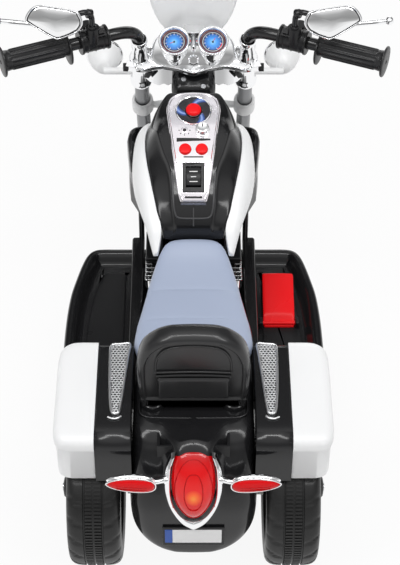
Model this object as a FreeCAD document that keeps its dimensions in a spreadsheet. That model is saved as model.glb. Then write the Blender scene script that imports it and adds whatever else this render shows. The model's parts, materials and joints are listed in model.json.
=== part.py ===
import FreeCAD, Part
import math
import os
import Sketcher
from FreeCAD import Placement, Rotation, Vector

# Kids' electric three-wheel chopper. Millimetres, +Y forward, +X rider's right, +Z up,
# origin on the floor under the middle of the machine.

SIZES = (
    ("overall_length", 840, "tail lamp to front tyre"),
    ("overall_width", 530, "lever ball to lever ball"),
    ("wall", 3, "moulded shell thickness"),
    ("fit_gap", 0.3, "gap between neighbouring mouldings"),
    ("running_gap", 0.05, "radial clearance of a turning bore"),
    ("overrun", 5, "how far a cutter runs past a face"),
    ("rear_radius", 100, "rear tyre radius"),
    ("rear_width", 68, "rear tyre width"),
    ("rear_track", 248, "rear wheel centre to wheel centre"),
    ("rear_overhang", 105, "tail to rear axle"),
    ("front_radius", 105, "front tyre radius"),
    ("front_width", 54, "front tyre width"),
    ("front_hub_width", 124, "front hub length between the fork legs"),
    ("hub_radius", 18, "wheel hub radius"),
    ("web_thickness", 12, "wheel disc thickness"),
    ("axle_radius", 5, "steel axle radius"),
    ("axle_end", 10, "axle beyond the wheel or fork"),
    ("nut_radius", 9, "axle nut radius"),
    ("nut_thickness", 6, "axle nut thickness"),
    ("rake_angle", 24, "lean of the steering axis"),
    ("fork_offset", 12, "fork legs ahead of the steering axis"),
    ("fork_spread", 146, "fork leg to fork leg"),
    ("fork_radius", 10, "fork leg radius"),
    ("fork_drop", 15, "fork leg below the axle"),
    ("fork_top", 365, "fork leg above the axle"),
    ("stem_radius", 9, "steering stem radius"),
    ("yoke_low", 194, "underside of the lower yoke along the fork"),
    ("yoke_thickness", 18, "thickness of a yoke plate"),
    ("yoke_half", 88, "half width of a yoke plate"),
    ("yoke_back", 10, "yoke plate behind the axis"),
    ("yoke_front", 32, "yoke plate ahead of the axis"),
    ("cup_radius", 15, "cup round a fork leg on the lower yoke, radius"),
    ("cup_height", 27, "cup height over the underside of the lower yoke"),
    ("neck_low", 218, "underside of the steering head along the fork"),
    ("neck_top", 326, "top of the steering head along the fork"),
    ("neck_back", 34, "steering head behind the axis"),
    ("neck_front", 18, "steering head ahead of the axis"),
    ("neck_half", 27, "half width of the steering head"),
    ("neck_seat", 18, "length of the seat of the head on the frame"),
    ("yoke_lift", 4, "upper yoke above the steering head"),
    ("sleeve_radius", 13.5, "fork cover radius"),
    ("sleeve_low", 276, "underside of the fork covers"),
    ("sleeve_top", 392, "top of the fork covers"),
    ("dash_half", 54, "half width of the instrument block"),
    ("dash_low_edge", 380, "rear top edge of the instrument block"),
    ("dash_high_edge", 403, "front top edge of the instrument block"),
    ("gauge_pitch", 51, "gauge to gauge"),
    ("gauge_radius", 18, "gauge pod radius"),
    ("gauge_bore", 15, "gauge dial radius"),
    ("gauge_rise", 16, "gauge pod above the instrument block"),
    ("dial_thickness", 4, "gauge dial thickness"),
    ("bar_radius", 8.5, "handlebar tube radius"),
    ("bar_corner", 419, "handlebar bend along the fork"),
    ("bar_bend", 28, "handlebar bend radius"),
    ("bar_reach", 165, "handlebar arm, sideways"),
    ("bar_sweep", 61, "handlebar arm, backward"),
    ("bar_rise", 25, "handlebar arm, upward"),
    ("grip_start", 97, "grip start along the arm"),
    ("grip_end", 186, "grip end along the arm"),
    ("grip_radius", 13.5, "grip radius"),
    ("grip_flange_radius", 20.5, "grip flange radius"),
    ("grip_flange", 3, "grip flange thickness"),
    ("flange_drop", 6, "inner grip flange below the bar centre"),
    ("mount_start", 44, "lever mount start along the arm"),
    ("mount_end", 82, "lever mount end along the arm"),
    ("mount_radius", 15, "lever mount radius"),
    ("lever_radius", 3.6, "lever blade radius"),
    ("lever_ahead", 24, "lever pivot ahead of the bar"),
    ("lever_toe_out", 8, "lever tip ahead of its pivot"),
    ("lever_toe_up", 8, "lever tip above its pivot"),
    ("ball_radius", 6, "lever ball radius"),
    ("boss_radius", 9, "lever mount boss radius"),
    ("mirror_out", 48, "mirror middle outside its lever mount"),
    ("mirror_behind", 29, "mirror middle behind its lever mount"),
    ("mirror_rise", 48, "mirror middle above its lever mount"),
    ("mirror_tilt", 65, "mirror lean from flat"),
    ("mirror_half_width", 38, "half width of a mirror"),
    ("mirror_half_height", 22, "half height of a mirror"),
    ("mirror_depth", 12, "mirror shell depth"),
    ("mirror_rim", 4, "mirror rim width"),
    ("glass_thickness", 2, "mirror glass thickness"),
    ("stalk_radius", 4, "mirror stalk radius"),
    ("stalk_behind", 7, "mirror stalk behind the middle of its lever mount"),
    ("socket_depth", 10, "mirror stalk inside its socket"),
    ("lamp_bar_radius", 5, "lamp bar radius"),
    ("lamp_bar_ahead", 41, "lamp bar ahead of the steering axis"),
    ("lamp_bar_up", 250, "lamp bar along the fork"),
    ("lamp_spread", 256, "side lamp to side lamp"),
    ("headlight_radius", 40, "headlight radius"),
    ("headlight_depth", 44, "headlight bowl depth"),
    ("headlight_lift", 20, "headlight middle above the lamp bar"),
    ("side_lamp_radius", 24, "side lamp radius"),
    ("side_lamp_depth", 30, "side lamp bowl depth"),
    ("side_lamp_tail", 10, "small end radius of a side lamp"),
    ("headlight_tail", 23, "small end radius of the headlight"),
    ("lens_rise", 8, "lamp lens crown"),
    ("shield_low", 352, "windshield bottom along the fork"),
    ("shield_height", 172, "windshield height"),
    ("shield_half", 57, "windshield half width"),
    ("shield_curve", 140, "windshield curve radius"),
    ("foot_half", 14, "windshield foot half width"),
    ("foot_height", 22, "windshield foot height"),
    ("fender_clearance", 8, "tyre to front mudguard"),
    ("fender_half", 33, "half width of the front mudguard"),
    ("fender_angle", 132, "angle the front mudguard covers"),
    ("fender_turn", 16, "front mudguard above straight ahead, angle"),
    ("frame_clearance", 92, "frame underside above the floor"),
    ("frame_width", 88, "frame width"),
    ("frame_tail_gap", 50, "frame end to tail"),
    ("toe_behind", 245, "front end of the frame floor behind the front axle"),
    ("frame_step", 26, "step down to the seat ahead of the tank end"),
    ("head_block", 30, "frame block behind the steering head"),
    ("shin_behind", 165, "frame knee behind the front axle"),
    ("shin_up", 215, "frame knee above the floor"),
    ("flank_half", 91, "half width over the frame flanks"),
    ("flank_low", 226, "underside of the frame flanks"),
    ("flank_lead", 27, "frame flanks ahead of the tank nose"),
    ("flank_tail", 95, "frame flanks ahead of the tank end"),
    ("tank_gap", 1, "seat to tank"),
    ("tank_toe", 3, "tank nose ahead of the rear edge of the steering head"),
    ("tank_height", 89, "tank height over the frame"),
    ("tank_half", 65, "tank half width"),
    ("side_half", 84, "half width over the tank side panels"),
    ("side_tail", 24, "side panel behind the tank end"),
    ("side_step", 12, "step of the side panel underside ahead of the tank end"),
    ("side_nose", 3, "side panel behind the tank nose"),
    ("side_height", 46, "side panel height"),
    ("panel_half", 37, "control panel half width"),
    ("panel_set_back", 20, "control panel end ahead of the tank end"),
    ("panel_set_front", 16, "control panel front behind the tank nose"),
    ("panel_thickness", 5, "control panel thickness"),
    ("panel_lip", 5, "control panel overlap on the tank"),
    ("start_button_radius", 11.5, "start button radius"),
    ("start_button_rise", 5, "start button above the panel"),
    ("music_button_radius", 8, "music button radius"),
    ("music_button_rise", 4, "music button above the panel"),
    ("music_pitch", 22, "music button to music button"),
    ("button_depth", 9, "button below the panel face"),
    ("knob_radius", 10, "volume knob radius"),
    ("knob_height", 9, "volume knob height"),
    ("knob_out", 12, "volume knob from the centre plane"),
    ("knob_shaft_radius", 3, "volume knob shaft radius"),
    ("jack_radius", 1.8, "audio socket bore radius"),
    ("jack_length", 15, "audio socket bore length"),
    ("jack_body_radius", 4.5, "audio socket body radius"),
    ("jack_rise", 1, "audio socket above the panel"),
    ("jack_out", 12, "audio socket from the centre plane"),
    ("bezel_width", 29, "rocker frame width"),
    ("bezel_length", 40, "rocker frame length"),
    ("bezel_rise", 3, "rocker frame above the panel"),
    ("bezel_depth", 14, "rocker frame below the panel face"),
    ("rocker_width", 20, "rocker width"),
    ("rocker_half", 12.5, "rocker half length"),
    ("rocker_rise", 5, "rocker crest above its pivot"),
    ("rocker_side_gap", 2.2, "rocker end to frame"),
    ("rocker_pin_radius", 1.5, "rocker pin radius"),
    ("rocker_pin_end", 2, "rocker pin beyond the rocker"),
    ("seat_gap", 2, "rear deck to seat"),
    ("seat_length", 193, "seat length"),
    ("seat_height", 46, "seat height"),
    ("seat_half", 74, "seat half width"),
    ("seat_rib", 6, "seat rib thickness"),
    ("deck_up", 250, "rear deck above the floor"),
    ("tail_rise", 16, "tail lens beyond the rear body"),
    ("deck_length", 162, "rear body length"),
    ("deck_half", 75, "rear body half width"),
    ("skirt_low", 80, "rear skirt above the floor"),
    ("back_half", 68, "backrest half width"),
    ("back_height", 116, "backrest height"),
    ("back_gap", 12, "backrest above the deck"),
    ("back_depth", 32, "backrest depth"),
    ("back_set_back", 76, "backrest rear behind the deck front"),
    ("post_radius", 8, "backrest post radius"),
    ("post_pitch", 100, "backrest post to post"),
    ("ring_radius", 13, "backrest socket radius"),
    ("ring_height", 8, "backrest socket height"),
    ("guard_out", 119.5, "joint between mudguard and bag"),
    ("guard_ahead", 107, "mudguard front ahead of the rear axle"),
    ("guard_length", 168, "mudguard length"),
    ("guard_up", 260, "mudguard top above the floor"),
    ("guard_height", 72, "mudguard height"),
    ("bag_out", 170, "bag side from the centre plane"),
    ("bag_up", 263, "bag top above the floor"),
    ("bag_height", 74, "bag height"),
    ("arch_gap", 10, "tyre to wheel arch"),
    ("grille_thickness", 2.5, "grille thickness"),
    ("grille_set_back", 6, "grille front behind the mudguard front"),
    ("grille_length", 118, "grille length"),
    ("grille_in", 79, "grille inner edge from the centre plane"),
    ("grille_width", 27, "grille width"),
    ("tail_half", 25.5, "tail lens half width"),
    ("tail_up", 203, "tail lens middle above the floor"),
    ("tail_half_height", 58, "tail lens half height"),
    ("tail_bulge", 22, "tail lens half depth"),
    ("lens_wall", 2.5, "tail lens thickness"),
    ("bulb_radius", 7, "tail bulb radius"),
    ("bulb_length", 5, "tail bulb length"),
    ("bezel_half", 31, "tail bezel half width"),
    ("tail_bezel_depth", 7, "tail bezel depth"),
    ("tail_bezel_low", 131, "tail bezel tip above the floor"),
    ("tail_bezel_height", 102, "tail bezel height"),
    ("signal_out", 75, "turn signal middle from the centre plane"),
    ("signal_up", 225, "turn signal middle above the floor"),
    ("signal_half_length", 30, "turn signal half length"),
    ("signal_half_height", 11, "turn signal half height"),
    ("signal_half_depth", 9.5, "turn signal half depth"),
    ("signal_arm_radius", 3, "turn signal arm radius"),
    ("plate_width", 77, "number plate width"),
    ("plate_height", 31.5, "number plate height"),
    ("plate_thickness", 3, "number plate thickness"),
    ("plate_low", 99, "number plate above the floor"),
    ("board_half", 178, "half width over the footboards"),
    ("board_up", 120, "footboard floor above the floor"),
    ("board_thickness", 10, "footboard thickness"),
    ("board_gap", 14, "footboard ahead of the mudguard front"),
    ("board_length", 291, "footboard length"),
    ("board_rim", 7, "footboard rim width"),
    ("rim_height", 14, "footboard rim height"),
    ("kerb_in", 70, "footboard kerb from the centre plane"),
    ("kerb_width", 18, "footboard kerb width"),
    ("kerb_height", 38, "footboard kerb height"),
    ("strut_width", 8, "footboard strut width"),
    ("strut_depth", 10, "footboard strut depth"),
    ("pedal_width", 44, "pedal width"),
    ("pedal_in", 97, "pedal inner edge from the centre plane"),
    ("pedal_heel", 147, "pedal hinge ahead of the footboard end"),
    ("pedal_length", 78, "pedal length"),
    ("pedal_slope", 18, "pedal toe above its heel"),
    ("pedal_thickness", 9, "pedal thickness"),
    ("pedal_pin_radius", 3, "pedal hinge pin radius"),
    ("pedal_pin_up", 6, "pedal hinge pin above the footboard"),
    ("lug_width", 6, "pedal lug width"),
    ("lug_half", 6, "pedal lug half length"),
    ("engine_depth", 24, "engine cover depth"),
    ("crank_radius", 38, "engine crankcase radius"),
    ("crank_up", 160, "engine crankcase above the floor"),
    ("crank_behind", 162, "engine crankcase behind the flank front"),
    ("jug_width", 30, "engine cylinder width"),
    ("jug_length", 64, "engine cylinder length from the crank"),
    ("jug_angle", 28, "engine cylinder lean"),
    ("fin_thickness", 3, "engine fin thickness"),
    ("fin_pitch", 7, "engine fin to fin"),
    ("fin_reach", 4, "engine fin beyond the cylinder"),
    ("battery_width", 66, "battery width"),
    ("battery_length", 98, "battery length"),
    ("battery_height", 62, "battery height"),
    ("battery_ahead", 154, "battery end ahead of the frame end"),
    ("terminal", 6, "battery terminal size"),
    ("sound_width", 60, "sound box width"),
    ("sound_length", 58, "sound box length"),
    ("sound_height", 24, "sound box height"),
    ("sound_gap", 18, "battery to sound box"),
    ("speaker_radius", 22, "speaker radius"),
    ("speaker_height", 6, "speaker height"),
    ("case_in", 4, "gear case inner face from the centre plane"),
    ("case_width", 36, "gear case width"),
    ("case_rim", 6, "gear case round the drive gear"),
    ("drive_module", 1.5, "drive gear module"),
    ("drive_teeth", 46, "drive gear teeth"),
    ("idler_pinion_teeth", 12, "idler pinion teeth"),
    ("motor_module", 1, "idler wheel module"),
    ("idler_teeth", 44, "idler wheel teeth"),
    ("motor_teeth", 12, "motor pinion teeth"),
    ("gear_backlash", 0.25, "gear backlash"),
    ("gear_root", 1.55, "depth of the gear roots in modules"),
    ("pressure_angle", 20, "gear pressure angle"),
    ("drive_width", 10, "drive gear width"),
    ("idler_width", 6, "idler wheel width"),
    ("gear_side_gap", 3, "gear to case wall"),
    ("idler_lift", 35, "idler above the drive gear, angle"),
    ("motor_lift", 12, "motor above the idler, angle"),
    ("pin_radius", 3, "idler pin radius"),
    ("drive_hub_radius", 10, "drive gear hub radius"),
    ("motor_radius", 17, "motor radius"),
    ("motor_length", 42, "motor length"),
    ("shaft_radius", 1.5, "motor shaft radius"),
    ("screw_radius", 3.4, "screw head radius"),
    ("screw_height", 2, "screw head height"),
)

# Outlines, as shares of the sizes they are stretched over
TANK_PLAN_SHARES = ((0, 1.0), (0.42, 0.98), (0.72, 0.89), (0.94, 0.75), (1.0, 0.62), (0.95, 0.46),
                    (0.87, 0.31), (0.74, 0.10), (0.62, 0))
TANK_SIDE_SHARES = ((0, 0), (0.08, 0.22), (0.15, 0.375), (0.378, 0.655), (0.651, 0.856),
                    (0.944, 1.0), (0.97, 0.91), (1.0, 0.51), (0.99, 0))
TANK_ARCH_SHARES = ((0.55, 1.0), (0.75, 0.85), (0.92, 0.56), (1.0, 0.25), (1.0, 0))
PANEL_PLAN_SHARES = ((0, 1.0), (0.5, 0.985), (0.86, 0.93), (1.0, 0.83), (0.97, 0.72), (0.87, 0.51),
                     (0.74, 0.275), (0.61, 0.07), (0.5, 0))
SIDE_PLAN_SHARES = ((0.24, 1.0), (0.72, 1.0), (0.90, 0.943), (0.99, 0.833), (1.0, 0.62), (0.95, 0.43),
                    (0.83, 0.238), (0.63, 0), (0.565, 0), (0.53, 0.11), (0.24, 0.11))
SIDE_PROFILE_SHARES = ((1.0, 0), (1.0, 0.65), (0.9, 1.0), (0.62, 1.0), (0.333, 0.68), (0.114, 0.10),
                       (0, -0.42), (0, -0.60))
SIDE_ARCH_SHARES = ((0.24, -0.8), (0.24, 1.0), (0.78, 1.0), (0.92, 0.52), (1.0, 0), (0.63, -0.8))
FLANK_PLAN_SHARES = ((0.43, 0), (0.77, 0.03), (0.945, 0.16), (1.0, 0.38), (0.967, 0.61), (0.835, 0.83),
                     (0.615, 0.985), (0.43, 1.0))
SEAT_PLAN_SHARES = ((0.36, 1.0), (0.50, 0.97), (0.605, 0.89), (0.665, 0.80), (0.785, 0.61), (0.83, 0.46),
                    (0.945, 0.30), (1.0, 0.15), (0.98, 0.10), (0.84, 0))
SEAT_SIDE_SHARES = ((0, 0), (0, 0.72), (0.08, 0.66), (0.25, 0.60), (0.58, 0.58), (0.80, 0.72),
                    (0.934, 1.0), (0.98, 0.95), (1.0, 0.75), (1.0, 0))
SEAT_ARCH_SHARES = ((0.74, 1.0), (0.90, 0.70), (0.97, 0.45), (1.0, 0.2), (1.0, 0))
SEAT_RIB_SHARES = (0.30, 0.62)
DECK_PLAN_SHARES = ((1.0, 1.0), (1.0, 0.164), (0.93, 0.07), (0.80, 0.025), (0.45, 0), (0, 0))
DECK_SIDE_SHARES = ((1.0, 0), (1.0, 1.0), (0.151, 1.0), (0.063, 0.965), (0.0126, 0.90), (0, 0.82), (0, 0))
DECK_REAR_SHARES = ((0.86, 1.0), (0.97, 0.955), (1.0, 0.90), (1.0, 0.28), (0.86, 0.14), (0.5, 0.03),
                    (0.3, 0))
BACK_FRONT_SHARES = ((0.30, 1.0), (0.65, 0.90), (0.86, 0.79), (0.965, 0.66), (1.0, 0.50), (0.985, 0.05),
                     (0.95, 0))
BACK_SIDE_SHARES = ((0.10, 0), (0, 0.30), (0.02, 0.70), (0.16, 0.93), (0.34, 1.0), (0.60, 1.0),
                    (0.82, 0.90), (1.0, 0.60), (0.96, 0))
GUARD_SIDE_SHARES = ((0, 0), (0, 0.86), (0.06, 1.0), (0.965, 1.0), (1.0, 0.92), (1.0, -0.3))
BAG_PLAN_SHARES = ((0, 1.0), (0.66, 0.985), (0.91, 0.92), (0.98, 0.78), (1.0, 0.55), (1.0, 0.27),
                   (0.93, 0.08), (0.66, 0.006), (0, 0))
BAG_SIDE_SHARES = ((0, 0), (0, 0.84), (0.06, 1.0), (0.96, 1.0), (1.0, 0.84), (1.0, 0))
BAG_REAR_SHARES = ((0, 0), (0, 1.0), (0.70, 1.0), (0.92, 0.86), (1.0, 0.62), (0.96, 0))
GRILLE_SHARES = ((0, 1.0), (0.85, 0.99), (1.0, 0.93), (0.97, 0.50), (0.85, 0.04), (0.75, 0), (0.42, 0),
                 (0.33, 0.06), (0.18, 0.50))
BEZEL_OUTER_SHARES = ((0, 1.08), (0.62, 1.05), (1.0, 0.99), (1.0, 0.84), (0.80, 0.42), (0.42, 0.15), (0, 0))
BOARD_PLAN_SHARES = ((0.745, 1.0), (0.81, 0.985), (0.85, 0.945), (0.895, 0.84), (0.957, 0.67), (0.993, 0.45),
                     (1.0, 0.24), (0.93, 0.06), (0.85, 0))
MIRROR_SHARES = ((0.95, 0.23), (0.53, 1.0), (-0.74, 0.68), (-0.95, 0.35), (-1.0, 0.0), (-0.74, -0.64),
                 (-0.24, -0.98), (0.0, -0.92))
SHIELD_SHARES = ((0.58, 0), (0.84, 0.27), (1.0, 0.62), (0.86, 0.88), (0.5, 0.98), (0, 1.0))
WHEEL_SHARES = ((0.20, 0.66), (0.78, 0.66), (1.0, 0.73), (1.0, 0.90), (0.80, 0.975), (0.30, 1.0))
SCREW_BACK_SHARES = ((-1, 0.42), (1, 0.74))
KNUCKLE_SHARE = 1.2
MIRROR_ARM_SHARE = 0.8
PADDLE_DIP_SHARE = 0.6
START_SHARE = 0.34
KNOB_SHARE = 0.77
MUSIC_SHARE = 0.23
ROCKER_SHARE = 0.44
FLANK_STEPS = 6

DOC = FreeCAD.newDocument("motorbike")
SHEET = DOC.addObject("Spreadsheet::Sheet", "sizes")
ALONG_X = Vector(1, 0, 0)
ALONG_Y = Vector(0, 1, 0)
ALONG_Z = Vector(0, 0, 1)
NODES = []


class Size:
    """A length that knows its value and the sheet expression that gives it."""

    def __init__(self, value, text):
        self.value = float(value)
        self.text = text

    def joined(self, other, sign, value, swap=False):
        words = (as_size(other).text, self.text) if swap else (self.text, as_size(other).text)
        return Size(value, "(" + words[0] + " " + sign + " " + words[1] + ")")

    def __add__(self, other):
        return self.joined(other, "+", self.value + float(other))

    def __radd__(self, other):
        return self.joined(other, "+", float(other) + self.value, True)

    def __sub__(self, other):
        return self.joined(other, "-", self.value - float(other))

    def __rsub__(self, other):
        return self.joined(other, "-", float(other) - self.value, True)

    def __mul__(self, other):
        return self.joined(other, "*", self.value * float(other))

    def __rmul__(self, other):
        return self.joined(other, "*", float(other) * self.value, True)

    def __truediv__(self, other):
        return self.joined(other, "/", self.value / float(other))

    def __neg__(self):
        return Size(-self.value, "(0 - " + self.text + ")")

    def __float__(self):
        return self.value


class Sizes:
    """Every cell of the sheet under its alias."""


def as_size(number):
    return number if isinstance(number, Size) else Size(number, format(float(number), ".6f"))


def read_sheet():
    sizes = Sizes()
    for row, (alias, value, meaning) in enumerate(SIZES, start=1):
        SHEET.set("A" + str(row), meaning)
        SHEET.set("B" + str(row), str(value))
        SHEET.setAlias("B" + str(row), alias)
    DOC.recompute()
    for alias, value, meaning in SIZES:
        setattr(sizes, alias, Size(SHEET.get(alias), "sizes." + alias))
    return sizes


S = read_sheet()


def bind(thing, **sizes):
    for name, size in sizes.items():
        setattr(thing, name, float(size))
        thing.setExpression(name, as_size(size).text)


def point(x, y, z):
    return Vector(float(x), float(y), float(z))


def turned(axis, angle):
    return Rotation(axis, float(angle))


def new(kind, name):
    return DOC.addObject(kind, name)


# Solids bound to the sheet

def cylinder(name, radius, height, base, direction=ALONG_Z, frame=Placement()):
    thing = new("Part::Cylinder", name)
    bind(thing, Radius=radius, Height=height)
    thing.Placement = frame.multiply(Placement(base, Rotation(ALONG_Z, direction)))
    return thing


def cone(name, radius_one, radius_two, height, base, direction=ALONG_Z, frame=Placement()):
    thing = new("Part::Cone", name)
    bind(thing, Radius1=radius_one, Radius2=radius_two, Height=height)
    thing.Placement = frame.multiply(Placement(base, Rotation(ALONG_Z, direction)))
    return thing


def box(name, length, width, height, corner, frame=Placement()):
    thing = new("Part::Box", name)
    bind(thing, Length=length, Width=width, Height=height)
    thing.Placement = frame.multiply(Placement(corner, Rotation()))
    return thing


def ball(name, radius, centre, frame=Placement()):
    thing = new("Part::Sphere", name)
    bind(thing, Radius=radius)
    thing.Placement = frame.multiply(Placement(centre, Rotation()))
    return thing


def egg(name, half_x, half_y, half_z, centre):
    thing = new("Part::Ellipsoid", name)
    bind(thing, Radius1=half_z, Radius2=half_x, Radius3=half_y)
    thing.Placement = Placement(centre, Rotation())
    return thing


def outline(body, plane, points):
    sketch = body.newObject("Sketcher::SketchObject", body.Name + "_sketch")
    support = [feature for feature in body.Origin.OriginFeatures if feature.Role == plane + "_Plane"]
    sketch.AttachmentSupport = [(support[0], "")]
    sketch.MapMode = "FlatFace"
    count = len(points)
    corners = [point(across, up, 0) for across, up in points]
    lines = [Part.LineSegment(corners[i], corners[(i + 1) % count]) for i in range(count)]
    sketch.addGeometry(lines, False)
    rules = [Sketcher.Constraint("Coincident", i, 2, (i + 1) % count, 1) for i in range(count)]
    for i, corner in enumerate(corners):
        rules.append(Sketcher.Constraint("DistanceX", -1, 1, i, 1, corner.x))
        rules.append(Sketcher.Constraint("DistanceY", -1, 1, i, 1, corner.y))
    sketch.addConstraint(rules)
    for i, (across, up) in enumerate(points):
        sketch.setExpression("Constraints[" + str(count + 2 * i) + "]", as_size(across).text)
        sketch.setExpression("Constraints[" + str(count + 2 * i + 1) + "]", as_size(up).text)
    return sketch


def prism(name, plane, points, start, length, frame=Placement()):
    body = new("PartDesign::Body", name)
    sketch = outline(body, plane, points)
    pad = body.newObject("PartDesign::Pad", name + "_pad")
    pad.Profile = sketch
    bind(pad, Length=length)
    pad.Reversed = plane == "XZ"
    shift = {"XY": point(0, 0, start), "XZ": point(0, start, 0), "YZ": point(start, 0, 0)}
    body.Placement = frame.multiply(Placement(shift[plane], Rotation()))
    return body


def turning(name, points, angle, centre, rotation=Rotation(), frame=Placement()):
    body = new("PartDesign::Body", name)
    sketch = outline(body, "XY", points)
    lathe = body.newObject("PartDesign::Revolution", name + "_turn")
    lathe.Profile = sketch
    lathe.ReferenceAxis = (sketch, ["H_Axis"])
    bind(lathe, Angle=angle)
    body.Placement = frame.multiply(Placement(centre, rotation))
    return body


def fuse(name, *things):
    thing = new("Part::MultiFuse", name)
    thing.Shapes = list(things)
    return thing


def common(name, *things):
    thing = new("Part::MultiCommon", name)
    thing.Shapes = list(things)
    return thing


def cut(name, base, *tools):
    thing = new("Part::Cut", name)
    thing.Base = base
    thing.Tool = tools[0] if len(tools) == 1 else fuse(name + "_tools", *tools)
    return thing


def group(name, *things):
    thing = new("Part::Compound", name)
    thing.Links = list(things)
    return thing


def mirrored(name, source):
    thing = new("Part::Mirroring", name)
    thing.Source = source
    thing.Normal = ALONG_X
    return thing


def node(thing, label):
    thing.Label = label
    NODES.append(thing)
    return thing


# Outlines stretched over sizes

def stretched(shares, start, span):
    return [(start[0] + span[0] * one, start[1] + span[1] * two) for one, two in shares]


def both_sides(shares, half, start, span):
    right = [(half * across, start + span * along) for across, along in shares]
    left = [(-half * across, start + span * along) for across, along in reversed(shares) if across]
    return right + left


def rectangle(low, high):
    return [(low[0], low[1]), (high[0], low[1]), (high[0], high[1]), (low[0], high[1])]


# Places shared by the pieces

tail_y = -S.overall_length / 2
rear_axle_y = tail_y + S.rear_overhang
front_axle_y = S.overall_length / 2 - S.front_radius
rake = math.radians(float(S.rake_angle))
rake_cos = Size(math.cos(rake), "cos(sizes.rake_angle * 1 deg)")
rake_sin = Size(math.sin(rake), "sin(sizes.rake_angle * 1 deg)")
steer_y = front_axle_y - S.fork_offset * rake_cos
steer_z = S.front_radius - S.fork_offset * rake_sin
STEER = Placement(point(0, steer_y, steer_z), turned(ALONG_X, S.rake_angle))
fork_x = S.fork_spread / 2
frame_half = S.frame_width / 2
frame_rear = tail_y + S.frame_tail_gap
rear_wheel_x = S.rear_track / 2


def steered(ahead, along):
    return (steer_y + rake_cos * ahead - rake_sin * along, steer_z + rake_sin * ahead + rake_cos * along)


head_low = steered(-S.neck_back - S.fit_gap, S.neck_low)
head_seat = steered(-S.neck_back - S.fit_gap, S.neck_low + S.neck_seat)
frame_top = head_seat[1]
tank_base = frame_top + S.fit_gap
rear_face = tail_y + S.tail_rise
deck_front_y = rear_face + S.deck_length
back_rear_y = deck_front_y - S.back_set_back
seat_base = S.deck_up - S.wall - S.fit_gap
seat_rear_y = deck_front_y + S.seat_gap
seat_front_y = seat_rear_y + S.seat_length
tank_rear_y = seat_front_y + S.tank_gap
tank_front_y = steered(-S.neck_back, S.neck_top)[0] + S.tank_toe
tank_length = tank_front_y - tank_rear_y
panel_rear_y = tank_rear_y + S.panel_set_back
panel_length = tank_length - S.panel_set_back - S.panel_set_front
side_rear_y = tank_rear_y - S.side_tail
side_length = tank_front_y - S.side_nose - side_rear_y
flank_front_y = tank_front_y + S.flank_lead
flank_rear_y = tank_rear_y + S.flank_tail
guard_front_y = rear_axle_y + S.guard_ahead
board_rear_y = guard_front_y + S.board_gap


# Wheels

def wheel(name, radius, width, hub_width, centre, frame=Placement()):
    half = width / 2
    right = [(half * across, radius * out) for across, out in WHEEL_SHARES]
    left = [(-half * across, radius * out) for across, out in reversed(WHEEL_SHARES)]
    web = S.web_thickness / 2
    bore = S.axle_radius + S.running_gap
    profile = [(-hub_width / 2, bore), (hub_width / 2, bore), (hub_width / 2, S.hub_radius), (web, S.hub_radius)]
    profile.append((web, radius * WHEEL_SHARES[0][1]))
    profile.extend(right[1:])
    profile.extend(left[:-1])
    profile.append((-web, radius * WHEEL_SHARES[0][1]))
    profile.extend([(-web, S.hub_radius), (-hub_width / 2, S.hub_radius)])
    return turning(name, profile, 360, centre, Rotation(), frame)


def wheels():
    for side, word in ((-1, "left"), (1, "right")):
        centre = point(rear_wheel_x * side, rear_axle_y, S.rear_radius)
        label = "rear_wheel_" + word
        node(wheel(label, S.rear_radius, S.rear_width, S.rear_width, centre), label)
    hub = point(0, S.fork_offset, 0)
    node(wheel("front_wheel", S.front_radius, S.front_width, S.front_hub_width, hub, STEER), "front_wheel")


# Frame with its flanks, floor opening and axle holes

def flank(side):
    length = flank_front_y - flank_rear_y
    low = tank_flank_points(S.flank_half, flank_front_y, length)
    outer = prism("flank", "XY", mirrored_points(low, side), S.flank_low, frame_top - S.flank_low)
    inner = tank_flank_points(S.flank_half - S.wall, flank_front_y - S.wall, length - S.wall * 2)
    depth = frame_top - S.flank_low - S.wall + S.overrun
    hollow = prism("flank_hollow", "XY", mirrored_points(inner, side), S.flank_low - S.overrun, depth)
    return cut("flank_shell", outer, hollow)


def tank_flank_points(half, front, length):
    return stretched(FLANK_PLAN_SHARES, (0, front), (half, -length))


def mirrored_points(points, side):
    return [(across * side, along) for across, along in points]


def main_frame():
    low = S.frame_clearance
    toe = front_axle_y - S.toe_behind
    shin = front_axle_y - S.shin_behind
    outer = [(frame_rear, low), (toe, low), (shin, S.shin_up), head_low, head_seat,
             (tank_rear_y + S.frame_step, frame_top), (tank_rear_y, seat_base), (frame_rear, seat_base)]
    tub = prism("tub", "YZ", outer, -frame_half, S.frame_width)
    floor = low + S.wall
    lid = frame_top + S.overrun
    inner = [(frame_rear + S.wall, floor), (toe - S.wall, floor), (shin - S.wall * 2, S.shin_up),
             (head_seat[0] - S.head_block, head_low[1]),
             (head_seat[0] - S.head_block, lid), (frame_rear + S.wall, lid)]
    hollow = prism("tub_hollow", "YZ", inner, -frame_half + S.wall, S.frame_width - S.wall * 2)
    flanks = [flank(side) for side in (-1, 1)]
    solid = fuse("frame_solid", tub, *flanks)
    axle = cylinder("frame_axle_hole", S.axle_radius + S.fit_gap, S.frame_width * 2,
                    point(-S.frame_width, rear_axle_y, S.rear_radius), ALONG_X)
    hub = cylinder("frame_hub_hole", S.drive_hub_radius + S.fit_gap * 2, S.frame_width,
                   point(0, rear_axle_y, S.rear_radius), ALONG_X)
    window = case_window()
    node(cut("main_frame", solid, hollow, axle, hub, window), "main_frame")


# Drive: motor, two gear stages and the case round them

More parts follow.
